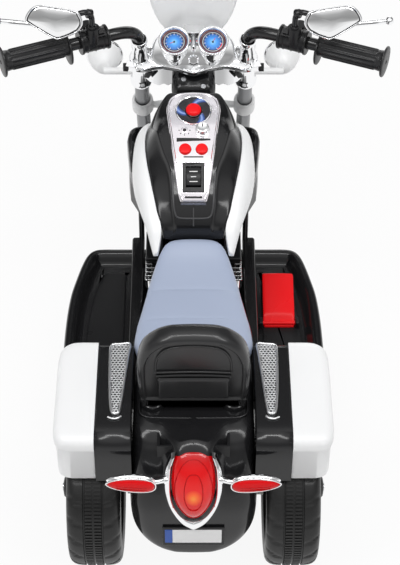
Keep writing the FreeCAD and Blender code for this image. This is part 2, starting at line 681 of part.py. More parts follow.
drive_pitch = S.drive_module * S.drive_teeth / 2
idler_pinion_pitch = S.drive_module * S.idler_pinion_teeth / 2
idler_pitch = S.motor_module * S.idler_teeth / 2
motor_pitch = S.motor_module * S.motor_teeth / 2
lift_one = math.radians(float(S.idler_lift))
lift_two = math.radians(float(S.motor_lift))
span_one = drive_pitch + idler_pinion_pitch
span_two = idler_pitch + motor_pitch
idler_y = rear_axle_y + span_one * math.cos(lift_one)
idler_z = S.rear_radius + span_one * math.sin(lift_one)
motor_y = idler_y + span_two * math.cos(lift_two)
motor_z = idler_z + span_two * math.sin(lift_two)
case_low = (rear_axle_y - drive_pitch - S.case_rim, S.rear_radius - drive_pitch - S.case_rim)
case_high = (motor_y + motor_pitch + S.case_rim, idler_z + idler_pitch + S.case_rim)
gear_x = S.case_in + S.wall + S.gear_side_gap
drive_x = gear_x + S.idler_width + S.gear_side_gap


def case_window():
    low = (S.case_in - S.fit_gap, case_low[0] - S.fit_gap)
    high = (S.case_in + S.case_width + S.fit_gap, case_high[0] + S.fit_gap)
    return prism("frame_window", "XY", rectangle(low, high), S.frame_clearance - S.overrun, S.wall + S.overrun * 2)


def involute(base, roll):
    return base * math.hypot(1, roll), roll - math.atan(roll)


def gear_points(module, teeth, backlash):
    pressure = math.radians(float(S.pressure_angle))
    pitch = module * teeth / 2
    base = pitch * math.cos(pressure)
    tip = pitch + module
    root = pitch - module * float(S.gear_root)
    half = math.pi / (2 * teeth) - backlash / (2 * pitch) + math.tan(pressure) - pressure
    last = math.sqrt((tip / base) ** 2 - 1)
    flank_line = [(root, half)]
    for i in range(FLANK_STEPS + 1):
        radius, angle = involute(base, last * i / FLANK_STEPS)
        if radius > root:
            flank_line.append((radius, half - angle))
    tooth = [(radius, -angle) for radius, angle in flank_line] + list(reversed(flank_line))
    points = []
    for k in range(int(teeth)):
        turn = 2 * math.pi * k / teeth
        for radius, angle in tooth:
            points.append((radius, angle + turn))
    return points


def gear(name, module, teeth, width, centre, phase):
    places = []
    for radius, angle in gear_points(float(module), round(float(teeth)), float(S.gear_backlash)):
        places.append(Vector(0, radius * math.cos(angle + phase), radius * math.sin(angle + phase)))
    face = Part.Face(Part.makePolygon(places + [places[0]]))
    thing = new("Part::Feature", name)
    thing.Shape = face.extrude(Vector(float(width), 0, 0))
    thing.Placement = Placement(centre, Rotation())
    return thing


def mesh_phase(teeth, toward, mate_teeth, mate_phase):
    pitch = 2 * math.pi / teeth
    mate_turn = (mate_phase - toward) / (2 * math.pi / mate_teeth)
    return toward + math.pi - pitch * (0.5 + mate_turn)


def drive_train():
    axle = point(0, rear_axle_y, S.rear_radius)
    teeth = [round(float(count)) for count in (S.drive_teeth, S.idler_pinion_teeth, S.idler_teeth, S.motor_teeth)]
    bore = cylinder("drive_bore", S.axle_radius + S.running_gap, S.rear_track, axle, ALONG_X)
    ring = gear("drive_ring", S.drive_module, teeth[0], S.drive_width, axle + point(drive_x, 0, 0), 0)
    hub_end = rear_wheel_x - S.rear_width / 2 - S.fit_gap
    hub = cylinder("drive_hub", S.drive_hub_radius, hub_end - drive_x, axle + point(drive_x, 0, 0), ALONG_X)
    node(cut("drive_gear", fuse("drive_solid", ring, hub), bore), "drive_gear")

    centre = point(0, idler_y, idler_z)
    pinion_phase = mesh_phase(teeth[1], lift_one, teeth[0], 0)
    pinion = gear("idler_pinion", S.drive_module, teeth[1], S.drive_width + S.gear_side_gap,
                  centre + point(gear_x + S.idler_width, 0, 0), pinion_phase)
    disc = gear("idler_disc", S.motor_module, teeth[2], S.idler_width, centre + point(gear_x, 0, 0), 0)
    pin_hole = cylinder("idler_bore", S.pin_radius + S.running_gap, S.rear_track, centre, ALONG_X)
    node(cut("idler_gear", fuse("idler_solid", disc, pinion), pin_hole), "idler_gear")

    spindle = point(0, motor_y, motor_z)
    phase = mesh_phase(teeth[3], lift_two, teeth[2], 0)
    small = gear("pinion_ring", S.motor_module, teeth[3], S.idler_width, spindle + point(gear_x, 0, 0), phase)
    shaft_length = gear_x - S.case_in + S.idler_width + S.motor_length / 4
    shaft_start = S.case_in - S.fit_gap - S.motor_length / 4
    shaft = cylinder("motor_shaft", S.shaft_radius, shaft_length + S.fit_gap, spindle + point(shaft_start, 0, 0),
                     ALONG_X)
    node(fuse("motor_pinion", small, shaft), "motor_pinion")

    can_start = S.case_in - S.fit_gap - S.motor_length
    can = cylinder("motor_can", S.motor_radius, S.motor_length, spindle + point(can_start, 0, 0), ALONG_X)
    socket = cylinder("motor_bore", S.shaft_radius + S.running_gap, S.motor_length,
                      spindle + point(shaft_start - S.fit_gap, 0, 0), ALONG_X)
    node(cut("motor", can, socket), "motor")

    outer = prism("case_outer", "YZ", rectangle(case_low, case_high), S.case_in, S.case_width)
    inside_low = (case_low[0] + S.wall, case_low[1] + S.wall)
    inside_high = (case_high[0] - S.wall, case_high[1] - S.wall)
    inner = prism("case_inner", "YZ", rectangle(inside_low, inside_high), S.case_in + S.wall,
                  S.case_width - S.wall * 2)
    axle_hole = cylinder("case_axle_hole", S.axle_radius + S.fit_gap, S.case_width,
                         axle + point(S.case_in - S.overrun, 0, 0), ALONG_X)
    hub_hole = cylinder("case_hub_hole", S.drive_hub_radius + S.fit_gap, S.case_width,
                        axle + point(drive_x, 0, 0), ALONG_X)
    shaft_hole = cylinder("case_shaft_hole", S.shaft_radius + S.fit_gap, S.wall * 2,
                          spindle + point(S.case_in - S.wall / 2, 0, 0), ALONG_X)
    shell = cut("case_shell", outer, inner, axle_hole, hub_hole, shaft_hole)
    pin = cylinder("idler_pin", S.pin_radius, S.case_width - S.wall, centre + point(S.case_in + S.wall / 2, 0, 0),
                   ALONG_X)
    node(fuse("gearbox_housing", shell, pin), "gearbox_housing")


def rear_axle():
    reach = rear_wheel_x + S.rear_width / 2 + S.axle_end
    start = point(-reach, rear_axle_y, S.rear_radius)
    node(cylinder("rear_axle", S.axle_radius, reach * 2, start, ALONG_X), "rear_axle")


# Battery and sound box on the frame floor

def electrics():
    floor = S.frame_clearance + S.wall
    battery_rear = frame_rear + S.battery_ahead
    sound_rear = battery_rear + S.battery_length + S.sound_gap
    case = box("battery_case", S.battery_width, S.battery_length, S.battery_height,
               point(-S.battery_width / 2, battery_rear, floor))
    tabs = []
    for side in (-1, 1):
        corner = point(S.battery_width / 4 * side - S.terminal / 2, battery_rear + S.terminal,
                       floor + S.battery_height)
        tabs.append(box("battery_tab", S.terminal, S.terminal, S.terminal, corner))
    node(fuse("battery", case, *tabs), "battery")
    module = box("sound_case", S.sound_width, S.sound_length, S.sound_height,
                 point(-S.sound_width / 2, sound_rear, floor))
    speaker = cylinder("speaker", S.speaker_radius, S.speaker_height,
                       point(0, sound_rear + S.sound_length / 2, floor + S.sound_height))
    node(fuse("sound_module", module, speaker), "sound_module")


# Steering head, yokes, fork and front axle, drawn along the fork

def across(name, radius, half, ahead, along):
    return cylinder(name, radius, half * 2, point(-half, ahead, along), ALONG_X, STEER)


def along_fork(name, radius, x, ahead, low, high):
    return cylinder(name, radius, high - low, point(x, ahead, low), ALONG_Z, STEER)


def leg_pair(name, radius, low, high):
    return [along_fork(name, radius, fork_x * side, S.fork_offset, low, high) for side in (-1, 1)]


def slab(name, half, back, front, low, high):
    return box(name, half * 2, back + front, high - low, point(-half, -back, low), STEER)


def steering_column():
    head = slab("head", S.neck_half, S.neck_back, S.neck_front, S.neck_low, S.neck_top)
    bore = along_fork("head_bore", S.stem_radius + S.running_gap, 0, 0, S.neck_low - S.overrun,
                      S.neck_top + S.overrun)
    node(cut("steering_neck", head, bore), "steering_neck")

    axle_hole = across("fork_axle_hole", S.axle_radius + S.running_gap, S.yoke_half, S.fork_offset, 0)
    legs = [cut("fork_leg", leg, axle_hole) for leg in leg_pair("leg", S.fork_radius, -S.fork_drop, S.fork_top)]
    node(group("fork_tubes", *legs), "fork_tubes")

    reach = fork_x + S.fork_radius + S.axle_end
    rod = across("axle_rod", S.axle_radius, reach, S.fork_offset, 0)
    heads = []
    for side in (-1, 1):
        start = point((fork_x + S.fork_radius + S.fit_gap) * side, S.fork_offset, 0)
        heads.append(cylinder("axle_head", S.nut_radius, S.nut_thickness, start, ALONG_X * side, STEER))
    node(fuse("front_axle", rod, *heads), "front_axle")

    plate = slab("low_plate", S.yoke_half, S.yoke_back, S.yoke_front, S.yoke_low, S.yoke_low + S.yoke_thickness)
    stem_top = S.neck_top + S.yoke_lift + S.yoke_thickness
    stem = along_fork("stem", S.stem_radius, 0, 0, S.yoke_low + S.yoke_thickness / 2, stem_top)
    cups = leg_pair("low_cup", S.cup_radius, S.yoke_low, S.yoke_low + S.cup_height)
    holes = leg_pair("low_hole", S.fork_radius + S.running_gap, S.yoke_low - S.overrun,
                     S.yoke_low + S.cup_height + S.overrun)
    node(fuse("lower_yoke", cut("low_drilled", fuse("low_cupped", plate, *cups), *holes), stem), "lower_yoke")


dash_low = S.neck_top + S.yoke_lift + S.yoke_thickness
dash_tilt = math.degrees(math.atan2(float(S.dash_high_edge - S.dash_low_edge), float(S.yoke_back + S.yoke_front)))


def gauge_frame(side, lift):
    middle = (S.yoke_front - S.yoke_back) / 2
    base = point(S.gauge_pitch / 2 * side, middle, (S.dash_low_edge + S.dash_high_edge) / 2)
    tilt = turned(ALONG_X, dash_tilt)
    return STEER.multiply(Placement(base + tilt.multVec(point(0, 0, lift)), tilt))


def upper_yoke():
    low = S.neck_top + S.yoke_lift
    plate = slab("top_plate", S.yoke_half, S.yoke_back, S.yoke_front, low, dash_low)
    profile = [(-S.yoke_back, low), (S.yoke_front, low), (S.yoke_front, S.dash_high_edge),
               (-S.yoke_back, S.dash_low_edge)]
    dash = prism("dash", "YZ", profile, -S.dash_half, S.dash_half * 2, STEER)
    pods = []
    wells = []
    for side in (-1, 1):
        root = gauge_frame(side, -S.gauge_rise)
        pods.append(cylinder("pod", S.gauge_radius, S.gauge_rise * 2, Vector(), ALONG_Z, root))
        well = gauge_frame(side, S.gauge_rise - S.dial_thickness - S.wall / 2)
        wells.append(cylinder("pod_well", S.gauge_bore + S.fit_gap, S.gauge_rise, Vector(), ALONG_Z, well))
    covers = leg_pair("cover", S.sleeve_radius, S.sleeve_low, S.sleeve_top)
    holes = leg_pair("cover_bore", S.fork_radius + S.running_gap, S.sleeve_low - S.overrun, S.fork_top + S.fit_gap)
    sockets = leg_pair("bar_socket", S.bar_radius + S.running_gap, S.fork_top, S.sleeve_top + S.overrun)
    stem_hole = along_fork("stem_hole", S.stem_radius + S.running_gap, 0, 0, low - S.overrun, dash_low + S.fit_gap)
    solid = fuse("top_solid", plate, dash, *pods, *covers)
    node(cut("upper_yoke", solid, *holes, *sockets, *wells, stem_hole), "upper_yoke")
    dials = []
    for side in (-1, 1):
        seat = gauge_frame(side, S.gauge_rise - S.dial_thickness - S.wall / 2)
        dials.append(cylinder("dial", S.gauge_bore, S.dial_thickness, Vector(), ALONG_Z, seat))
    node(group("gauge_dials", *dials), "gauge_dials")


# Handlebar arms, grips, lever mounts and levers, drawn for the right side and mirrored

arm_direction = point(S.bar_reach, -S.bar_sweep, S.bar_rise)
arm_length = arm_direction.Length
arm_unit = arm_direction * (1 / arm_length)
ARM = STEER.multiply(Placement(point(fork_x, S.fork_offset, S.bar_corner), Rotation(ALONG_Z, arm_unit)))
bend_angle = math.degrees(arm_unit.getAngle(ALONG_Z))
bend_set_back = S.bar_bend * math.tan(math.radians(bend_angle) / 2)


def pair(label, right):
    left = mirrored(label + "_left_half", right)
    node(group(label, left, right), label)


def handlebar():
    upright = along_fork("upright", S.bar_radius, fork_x, S.fork_offset, S.fork_top + S.fit_gap * 2,
                         S.bar_corner - bend_set_back)
    arm = cylinder("bar_arm", S.bar_radius, S.grip_end - S.fit_gap - bend_set_back, point(0, 0, bend_set_back),
                   ALONG_Z, ARM)
    elbow = new("Part::Torus", "bar_elbow")
    bind(elbow, Radius1=S.bar_bend, Radius2=S.bar_radius, Angle3=bend_angle)
    inward = Vector(arm_unit.x, arm_unit.y, 0).normalize()
    centre = point(fork_x, S.fork_offset, S.bar_corner - bend_set_back) + inward * float(S.bar_bend)
    axes = Rotation(inward * -1, ALONG_Z, inward.cross(ALONG_Z), "XYZ")
    elbow.Placement = STEER.multiply(Placement(centre, axes))
    pair("handlebar", fuse("bar_right", upright, elbow, arm))


def on_arm(name, radius, start, end, side_shift=Vector()):
    return cylinder(name, radius, end - start, point(0, 0, start) + side_shift, ALONG_Z, ARM)


down_on_arm = ARM.Rotation.inverted().multVec(Vector(0, 0, -1))
down_on_arm.z = 0
ahead_on_arm = ARM.Rotation.inverted().multVec(ALONG_Y)
ahead_on_arm.z = 0
mount_middle = (S.mount_start + S.mount_end) / 2


def grips():
    sleeve = on_arm("grip_sleeve", S.grip_radius, S.grip_start, S.grip_end + S.grip_flange)
    cap = on_arm("grip_cap", S.grip_flange_radius, S.grip_end, S.grip_end + S.grip_flange)
    low = down_on_arm.normalize() * float(S.flange_drop)
    guard = on_arm("grip_guard", S.grip_flange_radius, S.grip_start, S.grip_start + S.grip_flange, low)
    hole = on_arm("grip_bore", S.bar_radius + S.running_gap, S.grip_start - S.overrun, S.grip_end)
    pair("grips", cut("grip_right", fuse("grip_solid", sleeve, cap, guard), hole))


lever_root = ARM.multVec(point(0, 0, mount_middle) + ahead_on_arm.normalize() * float(S.lever_ahead))
ball_centre = point(S.overall_width / 2 - S.ball_radius, S.lever_toe_out + lever_root.y,
                    S.lever_toe_up + lever_root.z)
mount_centre = ARM.multVec(point(0, 0, mount_middle))
mirror_centre = mount_centre + point(S.mirror_out, -S.mirror_behind, S.mirror_rise)
stalk_x = mount_centre.x
stalk_y = mount_centre.y - S.stalk_behind
stalk_low = mount_centre.z + S.mount_radius


def lever_mounts():
    clamp = on_arm("clamp", S.mount_radius, S.mount_start, S.mount_end)
    pivot = cylinder("pivot_boss", S.boss_radius, S.boss_radius * 2, lever_root - point(0, 0, S.boss_radius))
    bridge = cylinder("pivot_bridge", S.boss_radius, (lever_root - mount_centre).Length, mount_centre,
                      lever_root - mount_centre)
    socket = cylinder("mirror_boss", S.boss_radius, S.mount_radius + S.socket_depth,
                      point(stalk_x, stalk_y, mount_centre.z))
    solid = fuse("mount_solid", clamp, pivot, bridge, socket)
    bar_hole = on_arm("clamp_bore", S.bar_radius + S.running_gap, S.mount_start - S.overrun * 2,
                      S.mount_end + S.overrun * 2)
    stalk_hole = cylinder("stalk_bore", S.stalk_radius + S.running_gap, S.socket_depth * 2,
                          point(stalk_x, stalk_y, stalk_low))
    lever_hole = lever_rod("lever_bore", S.lever_radius + S.running_gap)
    pair("lever_mounts", cut("mount_right", solid, bar_hole, stalk_hole, lever_hole))


def lever_rod(name, radius):
    return cylinder(name, radius, (ball_centre - lever_root).Length, lever_root, ball_centre - lever_root)


def levers():
    knob = ball("lever_ball", S.ball_radius, ball_centre)
    pair("levers", fuse("lever_right", lever_rod("lever_rod", S.lever_radius), knob))


# Mirrors on swivelling stalks

def mirror_outline(half_width, half_height):
    return [(half_width * wide, half_height * high) for wide, high in MIRROR_SHARES]


def mirrors():
    frame = Placement(mirror_centre, turned(ALONG_X, S.mirror_tilt))
    shell = prism("mirror_shell", "XY", mirror_outline(S.mirror_half_width, S.mirror_half_height),
                  -S.mirror_depth, S.mirror_depth, frame)
    inner = mirror_outline(S.mirror_half_width - S.mirror_rim, S.mirror_half_height - S.mirror_rim)
    recess = prism("mirror_recess", "XY", inner, -S.glass_thickness - S.fit_gap, S.glass_thickness * 2, frame)
    pane = mirror_outline(S.mirror_half_width - S.mirror_rim - S.fit_gap,
                          S.mirror_half_height - S.mirror_rim - S.fit_gap)
    stalk_top = mirror_centre.z
    start = point(stalk_x, stalk_y, stalk_low + S.fit_gap)
    stalk = cylinder("stalk", S.stalk_radius, stalk_top - stalk_low - S.fit_gap, start)
    top = point(stalk_x, stalk_y, stalk_top)
    back = frame.multVec(point(-S.mirror_half_width / 3, 0, -S.mirror_depth * MIRROR_ARM_SHARE))
    arm = cylinder("mirror_arm", S.stalk_radius, (back - top).Length, top, back - top)
    knuckle = ball("mirror_knuckle", S.stalk_radius * KNUCKLE_SHARE, top)
    right = node(cut("mirror_right", fuse("mirror_solid", shell, stalk, arm, knuckle), recess), "mirror_right")
    glass = prism("mirror_glass_right", "XY", pane, -S.glass_thickness, S.glass_thickness, frame)
    node(glass, "mirror_glass_right")
    node(mirrored("mirror_left", right), "mirror_left")
    node(mirrored("mirror_glass_left", glass), "mirror_glass_left")


# Lamp bar with the headlight and two side lamps

bar_y, bar_z = steered(S.lamp_bar_ahead, S.lamp_bar_up)
lamp_y = bar_y + S.lamp_bar_radius + S.fit_gap


def lamp(name, x, z, radius, depth, tail):
    bowl = cone(name + "_bowl", tail, radius, depth, point(x, lamp_y, z), ALONG_Y)
    rim_start = lamp_y + depth
    rim = cylinder(name + "_rim", radius + S.wall, S.wall * 2, point(x, rim_start, z), ALONG_Y)
    hollow = cone(name + "_hollow", tail - S.wall, radius - S.wall, depth, point(x, lamp_y + S.wall, z), ALONG_Y)
    seat = cylinder(name + "_seat", radius, S.wall * 2, point(x, rim_start + S.wall, z), ALONG_Y)
    housing = cut(name, fuse(name + "_solid", bowl, rim), hollow, seat)
    crown = (radius * radius + S.lens_rise * S.lens_rise) / (S.lens_rise * 2)
    front = point(x, rim_start + S.wall + S.fit_gap, z)
    dome = ball(name + "_dome", crown, front - point(0, crown - S.lens_rise, 0))
    disc = cylinder(name + "_disc", radius - S.fit_gap, S.lens_rise * 2, front, ALONG_Y)
    return housing, common(name + "_lens", dome, disc)


def lamps():
    rod = cylinder("lamp_rod", S.lamp_bar_radius, S.lamp_spread, point(-S.lamp_spread / 2, bar_y, bar_z), ALONG_X)
    stays = []
    for side in (-1, 1):
        reach = S.lamp_bar_ahead - S.fork_offset
        stay = box("lamp_stay", S.fork_radius * 2, reach, S.fork_radius * 2,
                   point(fork_x * side - S.fork_radius, S.fork_offset, S.lamp_bar_up - S.fork_radius), STEER)
        stays.append(stay)
    legs = leg_pair("lamp_leg_room", S.fork_radius + S.fit_gap, S.yoke_low, S.sleeve_top)
    covers = leg_pair("lamp_cover_room", S.sleeve_radius + S.fit_gap, S.sleeve_low - S.fit_gap, S.sleeve_top)
    cups = leg_pair("lamp_cup_room", S.cup_radius + S.fit_gap, S.yoke_low, S.yoke_low + S.cup_height + S.fit_gap)
    node(cut("light_bar", fuse("lamp_bar_solid", rod, *stays), *legs, *covers, *cups), "light_bar")
    housings = []
    lenses = []
    half = S.lamp_spread / 2
    small = (S.side_lamp_radius, S.side_lamp_depth, S.side_lamp_tail)
    large = (S.headlight_radius, S.headlight_depth, S.headlight_tail)
    places = (("lamp_left", -half, 0, small), ("lamp_right", half, 0, small),
              ("lamp_front", 0, S.headlight_lift, large))
    for name, x, lift, bowl in places:
        housing, lens = lamp(name, x, bar_z + lift, *bowl)
        housings.append(housing)
        lenses.append(lens)
    node(group("lamp_housings", *housings), "lamp_housings")
    node(group("lamp_lenses", *lenses), "lamp_lenses")


# Windshield and front mudguard

def windshield():
    shape = both_sides(SHIELD_SHARES, S.shield_half, S.shield_low, S.shield_height)
    slab_start = -S.shield_curve
    blank = prism("shield_blank", "XZ", shape, slab_start, S.shield_curve * 3, STEER)
    sag = S.shield_curve - math.sqrt(float(S.shield_curve) ** 2 - float(S.shield_half) ** 2)
    middle = S.yoke_front + S.fit_gap + sag
    centre = middle - S.shield_curve
    low = S.shield_low - S.overrun
    high = S.shield_low + S.shield_height + S.overrun
    outer = along_fork("shield_outer", S.shield_curve + S.wall, 0, centre, low, high)
    inner = along_fork("shield_inner", S.shield_curve, 0, centre, low - S.overrun, high + S.overrun)
    front = slab("shield_front", S.shield_half, -S.fork_offset, S.shield_curve, low, high)
    sheet = common("shield_sheet", cut("shield_skin", outer, inner), blank, front)
    foot = slab("shield_foot", S.foot_half, -S.yoke_front - S.fit_gap, middle + S.wall / 2, S.shield_low,
                S.shield_low + S.foot_height)
    node(fuse("windshield", sheet, foot), "windshield")


def front_mudguard():
    inner = S.front_radius + S.fender_clearance
    outer = inner + S.wall
    half = S.fender_half
    skirt = S.front_radius - S.fender_clearance
    profile = [(-half, skirt), (-half, outer), (half, outer), (half, skirt), (half - S.wall, skirt),
               (half - S.wall, inner), (-half + S.wall, inner), (-half + S.wall, skirt)]
    spin = turned(ALONG_X, S.fender_turn)
    shell = turning("mudguard_shell", profile, S.fender_angle, point(0, S.fork_offset, 0), spin, STEER)
    reach = fork_x - S.fork_radius - S.fit_gap
    stay = across("mudguard_stay", S.axle_radius, reach, S.fork_offset, outer + S.axle_radius - S.wall / 2)
    node(fuse("front_fender", shell, stay), "front_fender")


# Tank, side panels and control panel

def tank_solid(name, inset, drop):
    half = S.tank_half - inset
    start = tank_rear_y + inset
    length = tank_length - inset * 2
    base = tank_base - drop
    height = S.tank_height - inset + drop
    plan = prism(name + "_plan", "XY", both_sides(TANK_PLAN_SHARES, half, start, length), base, height + S.overrun)
    side_points = stretched(TANK_SIDE_SHARES, (start, base), (length, height))
    side = prism(name + "_side", "YZ", side_points, -half - S.overrun, (half + S.overrun) * 2)
    arch_points = both_sides(TANK_ARCH_SHARES, half, base, height)
    arch = prism(name + "_arch", "XZ", arch_points, start - S.overrun, length + S.overrun * 2)
    return common(name, plan, side, arch)


def panel_plan(name, inset, start, height):
    half = S.panel_half - inset
    points = both_sides(PANEL_PLAN_SHARES, half, panel_rear_y + inset, panel_length - inset * 2)
    return prism(name, "XY", points, start, height)


tank_line = stretched(TANK_SIDE_SHARES, (tank_rear_y, tank_base), (tank_length, S.tank_height))


def on_panel(facet, share, x, lift):
    low = tank_line[facet]
    high = tank_line[facet + 1]
    rise = S.fit_gap + S.panel_thickness
    base = point(x, low[0] + (high[0] - low[0]) * share, low[1] + (high[1] - low[1]) * share + rise)
    slope = math.degrees(math.atan2(float(high[1] - low[1]), float(high[0] - low[0])))
    tilt = turned(ALONG_X, slope)
    return Placement(base + tilt.multVec(point(0, 0, lift)), tilt)


def button(name, radius, rise, frame_spot):
    root = on_panel(*frame_spot, -S.button_depth)
    return cylinder(name, radius, S.button_depth + rise, Vector(), ALONG_Z, root)


START_SPOT = (4, START_SHARE, 0)
KNOB_SPOT = (3, KNOB_SHARE, S.knob_out)
JACK_SPOT = (3, KNOB_SHARE, -S.jack_out)
MUSIC_SPOTS = (("left", (3, MUSIC_SHARE, -S.music_pitch / 2)), ("right", (3, MUSIC_SHARE, S.music_pitch / 2)))
ROCKER_SPOT = (2, ROCKER_SHARE, 0)


def bezel_block(name, grow):
    root = on_panel(*ROCKER_SPOT, -S.bezel_depth - grow)
    width = S.bezel_width + grow * 2
    length = S.bezel_length + grow * 2
    height = S.bezel_depth + S.bezel_rise + grow * 2
    return box(name, width, length, height, point(-width / 2, -length / 2, 0), root)


def tank_cover():
    outer = tank_solid("tank_outer", 0, 0)
    inner = tank_solid("tank_inner", S.wall, S.overrun)
    opening = panel_plan("tank_opening", S.panel_lip, tank_base, S.tank_height * 2)
    node(cut("tank_cover", outer, inner, opening), "tank_cover")


def control_panel():
    plan = panel_plan("panel_plan", 0, tank_base, S.tank_height * 2)
    facets = tank_line[1:6]
    low = [(along, up + S.fit_gap) for along, up in facets]
    high = [(along, up + S.fit_gap + S.panel_thickness) for along, up in reversed(facets)]
    strip = prism("panel_strip", "YZ", low + high, -S.panel_half, S.panel_half * 2)
    holes = [button("start_hole", S.start_button_radius + S.fit_gap, S.overrun, START_SPOT)]
    for word, spot in MUSIC_SPOTS:
        holes.append(button("music_hole", S.music_button_radius + S.fit_gap, S.overrun, spot))
    holes.append(button("knob_hole", S.knob_shaft_radius + S.running_gap, S.overrun, KNOB_SPOT))
    holes.append(button("jack_hole", S.jack_body_radius + S.fit_gap, S.overrun, JACK_SPOT))
    holes.append(bezel_block("bezel_hole", S.fit_gap))
    node(cut("control_panel", common("panel_blank", plan, strip), *holes), "control_panel")


def panel_controls():
    node(button("engine_button", S.start_button_radius, S.start_button_rise, START_SPOT), "engine_button")
    for word, spot in MUSIC_SPOTS:
        label = "music_button_" + word
        node(button(label, S.music_button_radius, S.music_button_rise, spot), label)
    cap = cylinder("knob_cap", S.knob_radius, S.knob_height, Vector(), ALONG_Z, on_panel(*KNOB_SPOT, S.fit_gap))
    shaft = button("knob_shaft", S.knob_shaft_radius, S.knob_height, KNOB_SPOT)
    node(fuse("volume_knob", cap, shaft), "volume_knob")
    depth = S.jack_length + S.wall
    barrel = cylinder("jack_barrel", S.jack_body_radius, depth, Vector(), ALONG_Z,
                      on_panel(*JACK_SPOT, S.jack_rise - depth))
    bore = cylinder("jack_bore", S.jack_radius, depth, Vector(), ALONG_Z,
                    on_panel(*JACK_SPOT, S.jack_rise - S.jack_length))
    node(cut("audio_socket", barrel, bore), "audio_socket")
    rocker_switch()


def rocker_switch():
    block = bezel_block("bezel_block", 0)
    root = on_panel(*ROCKER_SPOT, 0)
    half = S.rocker_half + S.rocker_side_gap
    width = S.rocker_width + S.fit_gap * 2
    well = box("bezel_well", width, half * 2, S.bezel_depth * 2, point(-width / 2, -half, -S.bezel_depth + S.wall),
               root)
    pin_half = S.rocker_width / 2 + S.rocker_pin_end
    pin_hole = cylinder("bezel_pin_hole", S.rocker_pin_radius + S.running_gap, pin_half * 2 + S.fit_gap * 2,
                        point(-pin_half - S.fit_gap, 0, 0), ALONG_X, root)
    node(cut("switch_bezel", block, well, pin_hole), "switch_bezel")
    low = -S.rocker_rise
    dip = S.rocker_rise * PADDLE_DIP_SHARE
    profile = [(-S.rocker_half, low), (S.rocker_half, low), (S.rocker_half, S.rocker_rise), (0, dip),
               (-S.rocker_half, S.rocker_rise)]
    paddle = prism("paddle", "YZ", profile, -S.rocker_width / 2, S.rocker_width, root)
    pin = cylinder("rocker_pin", S.rocker_pin_radius, pin_half * 2, point(-pin_half, 0, 0), ALONG_X, root)
    node(fuse("rocker", paddle, pin), "rocker")


def tank_sides():
    grown = tank_solid("tank_room", -S.fit_gap, 0)
    start = side_rear_y
    top = S.tank_height * 2
    plan = prism("side_plan", "XY", stretched(SIDE_PLAN_SHARES, (0, start), (S.side_half, side_length)),
                 tank_base - S.tank_height, top)
    profile = stretched(SIDE_PROFILE_SHARES, (start, tank_base), (side_length, S.side_height))
    profile.append((tank_rear_y + S.side_step, tank_base))
    side = prism("side_profile", "YZ", profile, 0, S.side_half * 2)
    arch = prism("side_arch", "XZ", stretched(SIDE_ARCH_SHARES, (0, tank_base), (S.side_half, S.side_height)),
                 start - S.overrun, side_length + S.overrun * 2)
    right = node(cut("tank_side_right", common("side_blank", plan, side, arch), grown), "tank_side_right")
    node(mirrored("tank_side_left", right), "tank_side_left")


# Seat, backrest and rear body

def seat_solid(name, inset, drop):
    half = S.seat_half - inset
    start = seat_rear_y + inset
    length = S.seat_length - inset * 2
    base = seat_base + S.fit_gap - drop
    height = S.seat_height - inset + drop
    plan = prism(name + "_plan", "XY", both_sides(SEAT_PLAN_SHARES, half, start, length), base, height)
    side = prism(name + "_side", "YZ", stretched(SEAT_SIDE_SHARES, (start, base), (length, height)), -half, half * 2)
    arch = prism(name + "_arch", "XZ", both_sides(SEAT_ARCH_SHARES, half, base, height), start, length)
    return common(name, plan, side, arch)


def seat():
    outer = seat_solid("seat_outer", 0, 0)
    inner = seat_solid("seat_inner", S.wall, S.overrun)
    ribs = []
    for share in SEAT_RIB_SHARES:
        corner = point(-S.seat_half, seat_front_y - S.seat_length * share, seat_base + S.fit_gap)
        ribs.append(box("seat_rib", S.seat_half * 2, S.seat_rib, S.seat_height * 2, corner))
    node(cut("seat", outer, cut("seat_hollow", inner, *ribs)), "seat")


def deck_solid(name, inset, open_front):
    half = S.deck_half - inset
    rear = rear_face + inset
    length = S.deck_length - inset + open_front
    base = S.skirt_low - open_front
    height = S.deck_up - S.skirt_low - inset + open_front
    plan = prism(name + "_plan", "XY", both_sides(DECK_PLAN_SHARES, half, rear, length), base, height)
    side = prism(name + "_side", "YZ", stretched(DECK_SIDE_SHARES, (rear, base), (length, height)), -half, half * 2)
    back = prism(name + "_back", "XZ", both_sides(DECK_REAR_SHARES, half, base, height), rear, length)
    return common(name, plan, side, back)


post_y = back_rear_y + S.back_depth / 2


def rear_body():
    outer = deck_solid("deck_outer", 0, 0)
    inner = deck_solid("deck_inner", S.wall, S.overrun)
    rings = []
    for side in (-1, 1):
        ring = cylinder("post_ring", S.ring_radius, S.ring_height + S.wall, point(S.post_pitch / 2 * side, post_y,
                                                                               S.deck_up - S.wall))
        rings.append(ring)
    sockets = []
    for side in (-1, 1):
        sockets.append(cylinder("post_socket", S.post_radius + S.fit_gap, S.ring_height * 2,
                                point(S.post_pitch / 2 * side, post_y, S.deck_up)))
    axle = cylinder("deck_axle_hole", S.axle_radius + S.fit_gap, S.deck_half * 4,
                    point(-S.deck_half * 2, rear_axle_y, S.rear_radius), ALONG_X)
    hub = cylinder("deck_hub_hole", S.drive_hub_radius + S.fit_gap * 2, S.deck_half * 2,
                   point(0, rear_axle_y, S.rear_radius), ALONG_X)
    shell = cut("deck_shell", outer, inner)
    node(cut("rear_body", fuse("deck_solid", shell, *rings), *sockets, axle, hub), "rear_body")


def backrest_solid(name, inset):
    half = S.back_half - inset
    base = S.deck_up + S.back_gap + inset
    height = S.back_height - inset * 2
    depth = S.back_depth - inset * 2
    rear = back_rear_y + inset
    face = prism(name + "_face", "XZ", both_sides(BACK_FRONT_SHARES, half, base, height), rear, depth)
    side = prism(name + "_side", "YZ", stretched(BACK_SIDE_SHARES, (rear, base), (depth, height)), -half, half * 2)
    return common(name, face, side)


